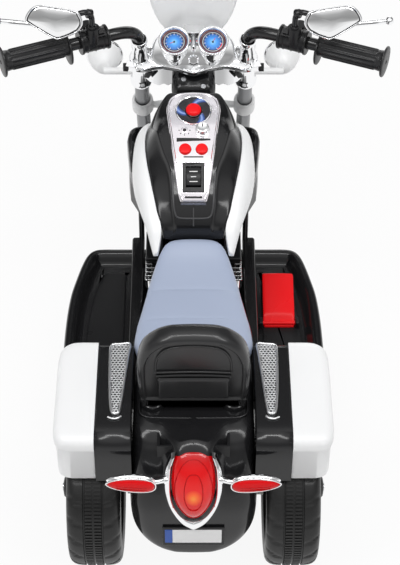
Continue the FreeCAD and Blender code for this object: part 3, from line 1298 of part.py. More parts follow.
def backrest():
    outer = backrest_solid("back_outer", 0)
    inner = backrest_solid("back_inner", S.wall)
    drain = box("back_drain", S.post_pitch / 2, S.back_depth / 3, S.wall * 3,
                point(-S.post_pitch / 4, post_y - S.back_depth / 6, S.deck_up + S.back_gap - S.wall))
    posts = []
    for side in (-1, 1):
        foot = point(S.post_pitch / 2 * side, post_y, S.deck_up + S.fit_gap)
        posts.append(cylinder("post", S.post_radius, S.back_gap + S.back_height / 3, foot))
    node(fuse("backrest", cut("back_shell", outer, inner, drain), *posts), "backrest")


# Rear mudguards, bags and grilles

def wheel_arch(name, start):
    return cylinder(name, S.rear_radius + S.arch_gap, S.bag_out, point(start, rear_axle_y, S.rear_radius), ALONG_X)


def mudguards():
    inner_x = S.deck_half + S.fit_gap
    width = S.guard_out - S.fit_gap - inner_x
    base = S.guard_up - S.guard_height
    front = guard_front_y
    points = stretched(GUARD_SIDE_SHARES, (front - S.guard_length, base), (S.guard_length, S.guard_height))
    outer = prism("guard_outer", "YZ", points, inner_x, width)
    room = stretched(GUARD_SIDE_SHARES, (front - S.guard_length + S.wall, base - S.overrun * 2),
                     (S.guard_length - S.wall * 2, S.guard_height - S.wall + S.overrun * 2))
    hollow = prism("guard_hollow", "YZ", room, inner_x + S.wall, width)
    arch = wheel_arch("guard_arch", rear_wheel_x - S.rear_width / 2 - S.arch_gap)
    right = cut("guard_right", outer, hollow, arch)
    pair("rear_fenders", right)


def bag_solid(name, inset, drop):
    start_x = S.guard_out + inset
    width = S.bag_out - S.guard_out - inset * 2
    front = guard_front_y - inset
    length = S.guard_length - inset * 2
    base = S.bag_up - S.bag_height - drop
    height = S.bag_height - inset + drop
    plan_points = stretched(BAG_PLAN_SHARES, (start_x, front - length), (width, length))
    plan = prism(name + "_plan", "XY", plan_points, base, height)
    side = prism(name + "_side", "YZ", stretched(BAG_SIDE_SHARES, (front - length, base), (length, height)),
                 start_x, width)
    rear = prism(name + "_rear", "XZ", stretched(BAG_REAR_SHARES, (start_x, base), (width, height)),
                 front - length, length)
    return common(name, plan, side, rear)


def saddlebags():
    outer = bag_solid("bag_outer", 0, 0)
    inner = bag_solid("bag_inner", S.wall, S.overrun * 2)
    arch = cylinder("bag_arch", S.rear_radius + S.arch_gap, S.wall * 2,
                    point(S.guard_out - S.wall / 2, rear_axle_y, S.rear_radius), ALONG_X)
    right = node(cut("saddlebag_right", outer, inner, arch), "saddlebag_right")
    node(mirrored("saddlebag_left", right), "saddlebag_left")


def grilles():
    points = stretched(GRILLE_SHARES, (S.grille_in, guard_front_y - S.grille_set_back - S.grille_length),
                       (S.grille_width, S.grille_length))
    pair("grilles", prism("grille_right", "XY", points, S.guard_up + S.fit_gap, S.grille_thickness))


# Tail lamp, turn signals and number plate on the rear face

def tail_lamp():
    room = deck_solid("deck_room", -S.fit_gap, 0)
    centre = point(0, tail_y + S.tail_bulge, S.tail_up)
    dome = egg("tail_dome", S.tail_half, S.tail_bulge, S.tail_half_height, centre)
    inside = egg("tail_inside", S.tail_half - S.lens_wall, S.tail_bulge - S.lens_wall,
                 S.tail_half_height - S.lens_wall, centre)
    node(cut("tail_light_lens", cut("tail_skin", dome, room), inside), "tail_light_lens")
    bulb = cylinder("tail_light_bulb", S.bulb_radius, S.bulb_length,
                    point(0, rear_face - S.fit_gap, S.tail_up), -ALONG_Y)
    node(bulb, "tail_light_bulb")
    low = S.tail_bezel_low
    start = rear_face - S.tail_bezel_depth
    ring = prism("bezel_ring", "XZ", both_sides(BEZEL_OUTER_SHARES, S.bezel_half, low, S.tail_bezel_height),
                 start, S.tail_bezel_depth * 2)
    lens_room = egg("bezel_lens_room", S.tail_half + S.fit_gap, S.tail_bulge + S.fit_gap,
                    S.tail_half_height + S.fit_gap, centre)
    node(cut("tail_light_bezel", ring, room, lens_room), "tail_light_bezel")


def turn_signals():
    room = deck_solid("signal_room", -S.fit_gap, 0)
    centre = point(S.signal_out, tail_y + S.signal_half_depth, S.signal_up)
    dome = egg("signal_dome", S.signal_half_length, S.signal_half_depth, S.signal_half_height, centre)
    rear_half = box("signal_rear_half", S.signal_half_length * 2, S.signal_half_depth, S.signal_half_height * 2,
                    centre - point(S.signal_half_length, S.signal_half_depth, S.signal_half_height))
    arm_start = S.bezel_half + S.fit_gap
    arm = cylinder("signal_arm", S.signal_arm_radius, S.signal_out - arm_start, point(arm_start, centre.y, centre.z),
                   ALONG_X)
    shell = cut("signal_right", fuse("signal_solid", cut("signal_front_half", dome, rear_half), arm), room)
    pair("turn_signals", shell)
    lens = common("signal_lens_blank", dome, rear_half)
    arm_room = cylinder("signal_arm_room", S.signal_arm_radius + S.fit_gap, S.signal_half_length * 2,
                        point(arm_start, centre.y, centre.z), ALONG_X)
    slit = box("signal_slit", S.signal_half_length * 2, S.fit_gap, S.signal_half_height * 2,
               centre - point(S.signal_half_length, S.fit_gap, S.signal_half_height))
    pair("turn_signal_lenses", cut("signal_lens_right", lens, arm_room, slit))


def number_plate():
    corner = point(-S.plate_width / 2, rear_face - S.fit_gap - S.plate_thickness, S.plate_low)
    node(box("number_plate", S.plate_width, S.plate_thickness, S.plate_height, corner), "number_plate")


# Footboards and the sprung pedal on the right one

pedal_y = board_rear_y + S.pedal_heel
pedal_z = S.board_up + S.pedal_pin_up
pedal_out = S.pedal_in + S.pedal_width


def board_plan(name, inset, start, height):
    half = S.board_half - inset
    inner_x = frame_half + S.fit_gap
    rear = board_rear_y + inset
    length = S.board_length - inset * 2
    edge = [(half * across, rear + length * along) for across, along in BOARD_PLAN_SHARES]
    return prism(name, "XY", [(inner_x, rear + length)] + edge + [(inner_x, rear)], start, height)


def footboard(name):
    low = S.board_up - S.board_thickness
    floor = board_plan(name + "_floor", 0, low, S.board_thickness + S.rim_height)
    well = board_plan(name + "_well", S.board_rim, S.board_up, S.rim_height * 2)
    kerb = box(name + "_kerb", S.kerb_width, S.board_length, S.kerb_height,
               point(S.kerb_in, board_rear_y, S.board_up))
    strut = box(name + "_strut", S.strut_width, S.strut_depth, S.flank_low - S.fit_gap - S.board_up,
                point(S.kerb_in, board_rear_y + S.board_length - S.strut_depth, S.board_up))
    return fuse(name + "_kerbed", cut(name + "_board", floor, well), kerb, strut)


def footboards():
    board = footboard("right")
    lugs = []
    for start in (S.pedal_in - S.fit_gap - S.lug_width, pedal_out + S.fit_gap):
        lugs.append(box("pedal_lug", S.lug_width, S.lug_half * 2, S.pedal_pin_up + S.lug_half,
                        point(start, pedal_y - S.lug_half, S.board_up)))
    hole = cylinder("pedal_pin_hole", S.pedal_pin_radius + S.running_gap, S.pedal_width * 2,
                    point(S.pedal_in - S.pedal_width / 2, pedal_y, pedal_z), ALONG_X)
    node(cut("footboard_right", fuse("board_lugs", board, *lugs), hole), "footboard_right")
    node(mirrored("footboard_left", footboard("left")), "footboard_left")
    low = S.pedal_thickness / 2
    points = [(pedal_y - low, pedal_z - low), (pedal_y + low, pedal_z - low),
              (pedal_y + S.pedal_length, pedal_z + S.pedal_slope - low),
              (pedal_y + S.pedal_length, pedal_z + S.pedal_slope + low),
              (pedal_y - low, pedal_z + low)]
    blade = prism("pedal_blade", "YZ", points, S.pedal_in, S.pedal_width)
    pin = cylinder("pedal_pin", S.pedal_pin_radius, S.pedal_width + S.lug_width * 2,
                   point(S.pedal_in - S.lug_width, pedal_y, pedal_z), ALONG_X)
    node(fuse("accelerator_pedal", blade, pin), "accelerator_pedal")


# Dummy V engine on each flank of the frame

def engine():
    start = frame_half + S.fit_gap
    hub = point(start, flank_front_y - S.crank_behind, S.crank_up)
    pieces = [cylinder("crankcase", S.crank_radius, S.engine_depth, hub, ALONG_X)]
    for lean in (-1, 1):
        frame = Placement(hub, turned(ALONG_X, S.jug_angle * lean))
        pieces.append(box("jug", S.engine_depth - S.fin_reach, S.jug_width, S.jug_length,
                          point(0, -S.jug_width / 2, 0), frame))
        count = int(float((S.jug_length - S.crank_radius) / S.fin_pitch))
        for fin in range(count):
            up = S.jug_length - S.fin_thickness - S.fin_pitch * fin
            pieces.append(box("fin", S.engine_depth, S.jug_width + S.fin_reach * 2, S.fin_thickness,
                              point(0, -S.jug_width / 2 - S.fin_reach, up), frame))
    pair("engine_covers", fuse("engine_right", *pieces))


# Screws of the steering head and nuts of the rear axle

def fasteners():
    pieces = []
    for side in (-1, 1):
        spot = point((rear_wheel_x + S.rear_width / 2 + S.fit_gap) * side, rear_axle_y, S.rear_radius)
        blank = cylinder("nut_blank", S.nut_radius, S.nut_thickness, spot, ALONG_X * side)
        hole = cylinder("nut_bore", S.axle_radius + S.running_gap, S.nut_thickness * 2,
                        spot - ALONG_X * (float(S.overrun) * side), ALONG_X * side)
        pieces.append(cut("axle_nut", blank, hole))
    for side, share in SCREW_BACK_SHARES:
        spot = point(S.neck_half / 2 * side, -S.neck_back * share, S.neck_top)
        pieces.append(cylinder("neck_screw", S.screw_radius, S.screw_height, spot, ALONG_Z, STEER))
    node(group("fasteners", *pieces), "fasteners")


def build():
    wheels()
    main_frame()
    drive_train()
    rear_axle()
    electrics()
    steering_column()
    upper_yoke()
    handlebar()
    grips()
    lever_mounts()
    levers()
    mirrors()
    lamps()
    windshield()
    front_mudguard()
    tank_cover()
    control_panel()
    panel_controls()
    tank_sides()
    seat()
    rear_body()
    backrest()
    mudguards()
    saddlebags()
    grilles()
    tail_lamp()
    turn_signals()
    number_plate()
    footboards()
    engine()
    fasteners()
    DOC.recompute()


def check():
    for thing in DOC.Objects:
        if "Invalid" in thing.State or "Error" in thing.State:
            raise ValueError(thing.Label + " did not build")
    for thing in NODES:
        if thing.Shape.isNull() or not thing.Shape.isValid() or not thing.Shape.Solids:
            raise ValueError(thing.Label + " has no valid solid")


def write():
    os.makedirs("parts", exist_ok=True)
    for thing in NODES:
        thing.Shape.exportStep("parts/" + thing.Label + ".step")


build()
check()
write()
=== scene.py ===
import bpy
import bmesh
import json
import math
from mathutils import Matrix, Vector


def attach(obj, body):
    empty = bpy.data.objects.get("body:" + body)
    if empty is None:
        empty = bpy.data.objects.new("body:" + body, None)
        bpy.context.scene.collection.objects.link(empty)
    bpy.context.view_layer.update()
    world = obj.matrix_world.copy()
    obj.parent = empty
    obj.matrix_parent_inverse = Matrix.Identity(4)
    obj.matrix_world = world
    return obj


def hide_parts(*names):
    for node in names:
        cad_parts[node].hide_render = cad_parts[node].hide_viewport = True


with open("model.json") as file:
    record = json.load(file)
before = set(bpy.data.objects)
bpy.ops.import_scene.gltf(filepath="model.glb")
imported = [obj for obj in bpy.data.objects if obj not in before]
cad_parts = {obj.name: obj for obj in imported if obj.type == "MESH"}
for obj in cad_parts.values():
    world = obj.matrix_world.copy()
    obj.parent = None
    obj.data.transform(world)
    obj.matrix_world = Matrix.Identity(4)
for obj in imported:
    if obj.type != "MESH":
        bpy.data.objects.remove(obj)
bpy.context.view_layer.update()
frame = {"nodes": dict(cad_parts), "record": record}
MM = 0.001
SIDES = ((-1, "left"), (1, "right"))
SLOT_OF = {part["node"]: part["material_slot"] for part in frame["record"]["subparts"]}

# Materials


def add(nodes, kind, operation=None, second=None, **values):
    """New shader node with its operation, its second input and its named inputs."""
    made = nodes.new("ShaderNode" + kind)
    if operation:
        made.operation = operation
    if second is not None:
        made.inputs[1].default_value = second
    for socket, value in values.items():
        made.inputs[socket.replace("_", " ")].default_value = value
    return made


def fill_ramp(ramp, stops):
    """Gives a colour ramp its stops, each a place and a colour."""
    for k, (at, colour) in enumerate(stops):
        stop = ramp.color_ramp.elements[k] if k < 2 else ramp.color_ramp.elements.new(at)
        stop.position = at
        stop.color = (*colour, 1)


def shader(name, colour, rough, metal=0.0, coat=0.0, swing=0.06, grain=900.0, bump=0.02, tint=0.12, **more):
    """Material whose shade and gloss drift a little over the surface, with a fine grain."""
    mat = bpy.data.materials.new(name)
    mat.use_nodes = True
    nodes, links = mat.node_tree.nodes, mat.node_tree.links
    bsdf = nodes["Principled BSDF"]
    place = add(nodes, "TexCoord")
    fine = add(nodes, "TexNoise", Scale=grain, Detail=4.0)
    broad = add(nodes, "TexNoise", Scale=14.0, Detail=5.0)
    for noise in (fine, broad):
        links.new(place.outputs["Object"], noise.inputs["Vector"])
    shade = add(nodes, "Mix")
    shade.data_type = "RGBA"
    shade.inputs["A"].default_value = (*[c * (1 - tint) for c in colour], 1)
    shade.inputs["B"].default_value = (*[min(1.0, c * (1 + tint)) for c in colour], 1)
    gloss = add(nodes, "MapRange", From_Min=0.3, From_Max=0.7,
                To_Min=max(0.02, rough - swing), To_Max=min(1.0, rough + swing))
    links.new(broad.outputs["Fac"], shade.inputs["Factor"])
    links.new(broad.outputs["Fac"], gloss.inputs["Value"])
    links.new(shade.outputs["Result"], bsdf.inputs["Base Color"])
    links.new(gloss.outputs["Result"], bsdf.inputs["Roughness"])
    if bump:
        relief = add(nodes, "Bump", Strength=bump, Distance=0.0004)
        links.new(fine.outputs["Fac"], relief.inputs["Height"])
        links.new(relief.outputs["Normal"], bsdf.inputs["Normal"])
    more.update(Metallic=metal, Coat_Weight=coat, Coat_Roughness=0.05)
    for socket, value in more.items():
        bsdf.inputs[socket.replace("_", " ")].default_value = value
    return mat


def ringed(name, stops, radius, centre=(0, 0, 0), flat=(1, 1, 0), **more):
    """Colour that changes with the distance from a middle, across a plane."""
    mat = shader(name, stops[0][1], 0.18, coat=0.5, bump=0.0, **more)
    nodes, links = mat.node_tree.nodes, mat.node_tree.links
    share = [f / (radius * MM) for f in flat]
    place = add(nodes, "TexCoord")
    scale = add(nodes, "Mapping", Scale=share, Location=[-c * MM * s for c, s in zip(centre, share)])
    length = add(nodes, "VectorMath", "LENGTH")
    ramp = add(nodes, "ValToRGB")
    fill_ramp(ramp, stops)
    links.new(place.outputs["Object"], scale.inputs["Vector"])
    links.new(scale.outputs["Vector"], length.inputs[0])
    links.new(length.outputs["Value"], ramp.inputs["Fac"])
    links.new(ramp.outputs["Color"], nodes["Principled BSDF"].inputs["Base Color"])
    return mat


def swirled(name, stops, arms, twist):
    """Streaks that turn round the middle of a disc, as many as it has arms."""
    mat = shader(name, stops[0][1], 0.16, coat=0.6, bump=0.0)
    nodes, links = mat.node_tree.nodes, mat.node_tree.links
    place = add(nodes, "TexCoord")
    polar = add(nodes, "TexGradient")
    polar.gradient_type = "RADIAL"
    span = add(nodes, "VectorMath", "LENGTH")
    wave = add(nodes, "Math", "MULTIPLY", arms)
    turn = add(nodes, "Math", "MULTIPLY_ADD", twist)
    fold = add(nodes, "Math", "PINGPONG", 0.5)
    double = add(nodes, "Math", "MULTIPLY", 2.0)
    ramp = add(nodes, "ValToRGB")
    fill_ramp(ramp, stops)
    links.new(place.outputs["Object"], polar.inputs["Vector"])
    links.new(place.outputs["Object"], span.inputs[0])
    links.new(polar.outputs["Fac"], wave.inputs[0])
    links.new(span.outputs["Value"], turn.inputs[0])
    links.new(wave.outputs["Value"], turn.inputs[2])
    links.new(turn.outputs["Value"], fold.inputs[0])
    links.new(fold.outputs["Value"], double.inputs[0])
    links.new(double.outputs["Value"], ramp.inputs["Fac"])
    links.new(ramp.outputs["Color"], nodes["Principled BSDF"].inputs["Base Color"])
    return mat


DIAL_STOPS = ((0.0, (0.35, 0.75, 1.0)), (0.35, (0.06, 0.36, 0.95)), (0.72, (0.02, 0.14, 0.50)),
              (0.80, (0.01, 0.02, 0.06)))
SWIRL_STOPS = ((0.0, (0.006, 0.006, 0.009)), (0.66, (0.016, 0.016, 0.024)), (0.84, (0.05, 0.12, 0.40)),
               (1.0, (0.32, 0.46, 0.85)))
# Tail lens: an amber middle near the bulb as painted bulb glow, then red, darker towards the rim
LENS_STOPS = ((0.0, (1.0, 0.30, 0.04)), (0.10, (1.0, 0.13, 0.02)), (0.20, (0.84, 0.008, 0.007)),
              (0.62, (0.76, 0.002, 0.004)), (0.95, (0.44, 0.001, 0.003)))

# One material for each slot of the record
MATS = {
    "black_gloss": shader("black_gloss", (0.012, 0.012, 0.013), 0.15, swing=0.04, bump=0.010,
                          Specular_IOR_Level=0.42),
    "black_satin": shader("black_satin", (0.012, 0.012, 0.013), 0.30, bump=0.05, Specular_IOR_Level=0.30),
    "white_gloss": shader("white_gloss", (0.94, 0.945, 0.95), 0.30, coat=0.10, swing=0.02, tint=0.01,
                          bump=0.01),
    "chrome_plate": shader("chrome_plate", (0.94, 0.945, 0.955), 0.07, metal=1.0, swing=0.03, tint=0.01,
                           bump=0.006),
    "silver_panel": shader("silver_panel", (0.95, 0.915, 0.955), 0.15, metal=1.0, swing=0.04, tint=0.012,
                           bump=0.01),
    "seat_blue": shader("seat_blue", (0.40, 0.46, 0.60), 0.42, bump=0.08, grain=1500, tint=0.03,
                        Specular_IOR_Level=0.4),
    "wheel_black": shader("wheel_black", (0.013, 0.013, 0.013), 0.38, bump=0.10, grain=700, swing=0.08,
                          Specular_IOR_Level=0.38),
    "grip_rubber": shader("grip_rubber", (0.014, 0.014, 0.015), 0.34, bump=0.08, grain=1800,
                          Specular_IOR_Level=0.4),
    "fork_grey": shader("fork_grey", (0.22, 0.223, 0.23), 0.30, metal=0.9, tint=0.05),
    "steel": shader("steel", (0.62, 0.63, 0.65), 0.25, metal=1.0, tint=0.05),
    "red_plastic": shader("red_plastic", (0.97, 0.010, 0.014), 0.26, tint=0.03, Specular_IOR_Level=0.18),
    "red_lens": shader("red_lens", (0.84, 0.003, 0.006), 0.08, coat=0.3, bump=0.0, tint=0.05,
                       Transmission_Weight=0.15, IOR=1.22, Specular_IOR_Level=0.25),
    "clear_lens": shader("clear_lens", (0.90, 0.93, 0.95), 0.08, coat=0.3, bump=0.0, tint=0.02,
                         Transmission_Weight=0.50, IOR=1.45),
    "frosted_shield": shader("frosted_shield", (0.96, 0.965, 0.97), 0.45, bump=0.008, tint=0.008,
                             Transmission_Weight=0.62, IOR=1.04, Specular_IOR_Level=0.15),
    "mirror_glass": shader("mirror_glass", (0.93, 0.935, 0.94), 0.07, metal=1.0, swing=0.03, bump=0.0,
                           tint=0.02),
    "plate_white": shader("plate_white", (0.84, 0.84, 0.84), 0.40, bump=0.05, tint=0.02),
    "battery_grey": shader("battery_grey", (0.12, 0.12, 0.13), 0.50, bump=0.08),
    "gear_white": shader("gear_white", (0.75, 0.74, 0.70), 0.45, bump=0.05, tint=0.03),
    "dial_blue": ringed("dial_blue", DIAL_STOPS, 15),
}

# Materials of single pieces
SWIRL = swirled("swirl_disc", SWIRL_STOPS, 3.0, 24.0)
# The tail lens carries the painted bulb glow of its stops
LENS_RED = ringed("tail_lens_red", LENS_STOPS, 54, (0, -415, 204), (1, 0, 1), Specular_IOR_Level=0.25)
DIAL_RING = shader("dial_ring", (0.10, 0.012, 0.016), 0.25, coat=0.4)
DIAL_MARK = shader("dial_mark", (0.85, 0.88, 0.92), 0.4)
# Near-black painted shade for the slots, grooves, the audio socket's bottom, the yoke's recesses and the
# sheet under the grille holes; the same black is the own colour of the volume pointer, the jack marks, the
# panel strip, the deck seam and the mirror gaskets
SHADE_AND_TRIM_BLACK = shader("recess_shade_and_trim_black", (0.008, 0.008, 0.009), 0.5)
REFLECTOR = shader("reflector_red", (0.52, 0.003, 0.005), 0.25, bump=0.0, tint=0.10, Specular_IOR_Level=0.2)
# Amber painted on the tail and lamp bulbs as their glow; they give no light
GLOW = shader("painted_bulb_glow", (1.0, 0.42, 0.06), 0.2, bump=0.0, tint=0.05)
PLATE_BLUE = shader("plate_blue", (0.02, 0.09, 0.42), 0.4, tint=0.05)
MESH_CHROME = shader("mesh_chrome", (0.86, 0.865, 0.875), 0.48, metal=0.85, swing=0.05, tint=0.05)
RIM_CHROME = shader("rim_chrome", (0.93, 0.935, 0.945), 0.30, metal=1.0, swing=0.04, tint=0.02)
# Black a little lighter than the gloss black, painted sheen standing in for the light the backrest's faces
# catch
BACK_LIT_BLACK = shader("backrest_lit_black", (0.025, 0.025, 0.026), 0.20, swing=0.04, bump=0.010,
                    Specular_IOR_Level=0.42)
# Dark grey a little lighter than the tank, painted on its seams as a highlight along them
SEAM_HIGHLIGHT = shader("painted_seam_highlight", (0.055, 0.055, 0.058), 0.32, bump=0.0)

# Curves and meshes, written in millimetres


def circle(count):
    """Cosine and sine at equal steps round a circle."""
    turns = [2 * math.pi * k / count for k in range(count)]
    return [(math.cos(a), math.sin(a)) for a in turns]


def rounded(points, steps=6, closed=True):
    """Smooth line through the given points."""
    points = [Vector(p) for p in points]
    count = len(points)
    line = []
    for i in range(count if closed else count - 1):
        if closed:
            a, b, c, d = (points[(i + k) % count] for k in (-1, 0, 1, 2))
        else:
            a, b, c, d = (points[min(max(i + k, 0), count - 1)] for k in (-1, 0, 1, 2))
        for k in range(steps):
            t = k / steps
            line.append(0.5 * (2 * b + (c - a) * t + (2 * a - 5 * b + 4 * c - d) * t * t
                               + (3 * b - a - 3 * c + d) * t ** 3))
    if not closed:
        line.append(points[-1])
    return line


def outline(pairs_of_xy, steps=5, closed=False):
    """Smooth line through points of the XY plane."""
    return rounded([(x, y, 0) for x, y in pairs_of_xy], steps, closed)


def along(table, at):
    """Value of a table of pairs at a place between them."""
    if at <= table[0][0]:
        return table[0][1]
    for (a, low), (b, high) in zip(table, table[1:]):
        if at <= b:
            t = (at - a) / (b - a)
            t = t * t * (3 - 2 * t) * 0.35 + t * 0.65
            return low + (high - low) * t
    return table[-1][1]


def skin(bm, rings, closed=True, caps=(True, True)):
    """Quads between rings of points."""
    rows = [[bm.verts.new(p) for p in ring] for ring in rings]
    count = len(rows[0])
    for one, two in zip(rows, rows[1:]):
        for i in range(count if closed else count - 1):
            j = (i + 1) % count
            bm.faces.new((one[i], one[j], two[j], two[i]))
    if caps[0]:
        bm.faces.new(list(reversed(rows[0])))
    if caps[1]:
        bm.faces.new(rows[-1])
    return rows


def loft(rings, closed=True, caps=(True, True)):
    """New mesh of quads between rings of points."""
    bm = bmesh.new()
    skin(bm, rings, closed, caps)
    return bm


def block(bm, size, place, turn=Matrix.Identity(3)):
    """Box of a size about a place."""
    got = bmesh.ops.create_cube(bm, size=1.0)
    for v in got["verts"]:
        v.co = turn @ Vector((v.co.x * size[0], v.co.y * size[1], v.co.z * size[2])) + Vector(place)


def boxes(*items):
    """New mesh of boxes, each given as a size and a place."""
    bm = bmesh.new()
    for size, place in items:
        block(bm, size, place)
    return bm


def spoke(bm, size, radius, angle, lift, turn=math.pi / 2):
    """Small bar on a circle, turned with its place there."""
    spot = (radius * math.cos(angle), radius * math.sin(angle), lift)
    block(bm, size, spot, Matrix.Rotation(angle + turn, 3, "Z"))


def basis(direction, up=Vector((0, 0, 1))):
    """Rotation whose z axis is the direction and whose y axis is near up."""
    z = Vector(direction).normalized()
    x = Vector(up).cross(z)
    if x.length < 1e-6:
        x = Vector((1, 0, 0))
    x.normalize()
    y = z.cross(x)
    return Matrix((x, y, z)).transposed()


def lathe(bm, profile, count=48, base=(0, 0, 0), direction=(0, 0, 1), ripple=None):
    """Turned solid from pairs of distance along the axis and radius, a ring if it ends where it starts."""
    turn = basis(direction)
    rings = []
    for s, r in profile:
        ring = []
        for i in range(count):
            a = 2 * math.pi * i / count
            k = r + (ripple(s, a) if ripple else 0.0)
            ring.append(turn @ Vector((k * math.cos(a), k * math.sin(a), s)) + Vector(base))
        rings.append(ring)
    solid = profile[0] != profile[-1]
    skin(bm, rings, caps=(solid, solid))


def turned(profile, count=48, **more):
    """New mesh of one turned solid."""
    bm = bmesh.new()
    lathe(bm, profile, count, **more)
    return bm


def hoop(bm, radius, lift, thick, squash=1.0, count=64):
    """Thin ring of round wire about the Z axis."""
    wire = [(radius + thick * a, lift + thick * squash * b) for a, b in circle(8)]
    rings = []
    for c, s in circle(count):
        out = Vector((c, s, 0))
        rings.append([out * r + Vector((0, 0, z)) for r, z in wire])
    skin(bm, rings + [rings[0]], caps=(False, False))


def tube(bm, path, radius, count=16):
    """Round tube along a smooth path. radius is a number or a function of the share along it."""
    rings = []
    last = len(path) - 1
    for i, p in enumerate(path):
        ahead = (path[min(i + 1, last)] - path[max(i - 1, 0)]).normalized()
        turn = basis(ahead, Vector((0.31, 0.2, 0.93)))
        r = radius(i / last) if callable(radius) else radius
        rings.append([turn @ Vector((r * c, r * s, 0)) + p for c, s in circle(count)])
    skin(bm, rings)


def inset(loop, distance):
    """Loop in the XY plane moved inwards."""
    count = len(loop)
    area = sum(p.x * q.y - q.x * p.y for p, q in zip(loop, loop[1:] + loop[:1]))
    side = 1 if area > 0 else -1
    moved = []
    for i in range(count):
        t = loop[(i + 1) % count] - loop[i - 1]
        n = Vector((-t.y, t.x, 0)).normalized() * side
        moved.append(loop[i] + n * distance)
    return moved


def stepped(loop, plan):
    """Rings above a loop of the XY plane, each moved inwards and set at a height."""
    return [[Vector((p.x, p.y, z)) for p in inset(loop, inward)] for inward, z in plan]


def both(right):
    """Right half of a section and its mirror image as one ring, from the top middle round."""
    left = [Vector((-p.x, p.y, p.z)) for p in reversed(right) if p.x > 1e-6]
    return right + left


def boxy(half, back, front, power, count):
    """Points of a loop between a circle and a box, as pairs of x and y. A lower power is boxier."""
    points = []
    for c, s in circle(count):
        y = (front + back) / 2 + (front - back) / 2 * math.copysign(abs(s) ** power, s)
        points.append((half * math.copysign(abs(c) ** power, c), y))
    return points


def crease(bm, rows, index, weight):
    """Sharper edge along one point of every ring."""
    layer = bm.edges.layers.float.get("crease_edge") or bm.edges.layers.float.new("crease_edge")
    for one, two in zip(rows, rows[1:]):
        edge = bm.edges.get((one[index], two[index]))
        if edge:
            edge[layer] = weight


def mirrored(bm):
    """The same mesh on the other side."""
    for v in bm.verts:
        v.co.x = -v.co.x
    bmesh.ops.reverse_faces(bm, faces=bm.faces)
    return bm


def handed(bm, sign):
    """A mesh of the right side, mirrored where the sign is the left's."""
    return mirrored(bm) if sign < 0 else bm


def bare(name, bm):
    """Scene object in metres from a mesh in millimetres."""
    bmesh.ops.recalc_face_normals(bm, faces=bm.faces)
    for v in bm.verts:
        v.co *= MM
    mesh = bpy.data.meshes.new(name)
    bm.to_mesh(mesh)
    bm.free()
    thing = bpy.data.objects.new(name, mesh)
    bpy.context.scene.collection.objects.link(thing)
    return thing


def round_edges(thing, width, segments, angle):
    edge = thing.modifiers.new("edges", "BEVEL")
    edge.width = width * MM
    edge.segments = segments
    edge.limit_method = "ANGLE"
    edge.angle_limit = math.radians(angle)
    edge.harden_normals = True


def piece(name, bm, slot, body, nodes=(), mat=None, bevel=0.0, segments=2, levels=0, angle=38, place=None,
          thick=0.0):
    """Finished piece that rides on its body and replaces the nodes it is named for."""
    bmesh.ops.remove_doubles(bm, verts=bm.verts, dist=1e-4)
    thing = bare(name, bm)
    thing.data.materials.append(mat or MATS[slot])
    thing.data.shade_smooth()
    if not levels:
        thing.data.set_sharp_from_angle(angle=math.radians(angle))
    if place is not None:
        thing.matrix_world = place
    if thick:
        solid = thing.modifiers.new("sheet", "SOLIDIFY")
        solid.thickness = thick * MM
        solid.offset = 0
    if bevel:
        round_edges(thing, bevel, segments, angle)
    if levels:
        soft = thing.modifiers.new("smooth", "SUBSURF")
        soft.levels = levels
        soft.render_levels = levels
    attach(thing, body)
    if nodes:
        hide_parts(*nodes)
    return thing


def pairs(name, bm, slot, body, nodes=(), **more):
    """Piece made of a right half and its mirror image."""
    twin = mirrored(bm.copy())
    mesh = bpy.data.meshes.new("half")
    twin.to_mesh(mesh)
    twin.free()
    bm.from_mesh(mesh)
    return piece(name, bm, slot, body, nodes, **more)


# Steering frame, leaning back with the fork

RAKE = math.radians(24)
STEER = Matrix.Translation((0, 304.037, 100.119)) @ Matrix.Rotation(RAKE, 4, "X")
STEER_TURN = STEER.to_3x3()
AXIS = (STEER_TURN @ Vector((0, 0, 1))).normalized()
FORK_X, FORK_V = 73, 12


def steered(x, v, w):
    """Place in the leaning frame: to the right, ahead of the axis and up along it."""
    return STEER @ Vector((x, v, w))


# Tank, its side panels and the frame flanks under them

# Heights and half widths of the tank by the place along Y
TANK_TOP = ((-46.6, 291), (-46, 299), (-44, 306), (-40, 312), (-30.9, 321.7), (-17.6, 335.5), (25.6, 360.4),
            (77.3, 378.3), (120, 388.2), (132.8, 390.6), (138, 383), (143.2, 348))
TANK_HALF = ((-46, 40.3), (-27, 48.1), (12.7, 56.6), (41.1, 62), (71.4, 65.5), (96, 65), (110, 61.5),
             (122.6, 54), (132, 45), (138, 37), (143.2, 26))
TANK_RIDGE = ((-46, 23.5), (-38, 25), (-25, 27), (10, 29.5), (25, 34.5), (38, 40), (60, 46.5), (80, 52.5),
              (92, 56.2), (99, 57.6), (106, 55.4), (114, 50), (124, 42), (134, 32), (139, 25), (143, 18))
# Greatest height of its shoulders by the distance from the middle
TANK_ARCH = ((36, 391), (48.8, 377.8), (59.8, 352), (65, 324.4))
# Its lower edge, and the places of its sections along Y
TANK_LIP = ((-46.6, 284), (-40, 287), (-30, 302.2), (143.2, 302.2))
TANK_STATIONS = (-46.6, -45.4, -43, -38, -31, -24, -17.6, -6, 6, 16, 25.6, 35, 44, 52, 60, 68, 76, 84, 92,
                 99, 106, 114, 121, 128, 133, 136.5, 139.5, 142, 143.2)
# Points of a section that stay sharp, with their weights
TANK_CREASES = ((4, 0.9), (5, 0.75), (3, 0.5))
# Seam seen from above, as pairs of x and y
TANK_SEAM = ((-29, 12), (-27.6, -5), (-26.4, -22), (-24.6, -32), (-19.5, -37), (0, -37.6), (19.5, -37),
             (24.6, -32), (26.4, -22), (27.6, -5), (29, 12))
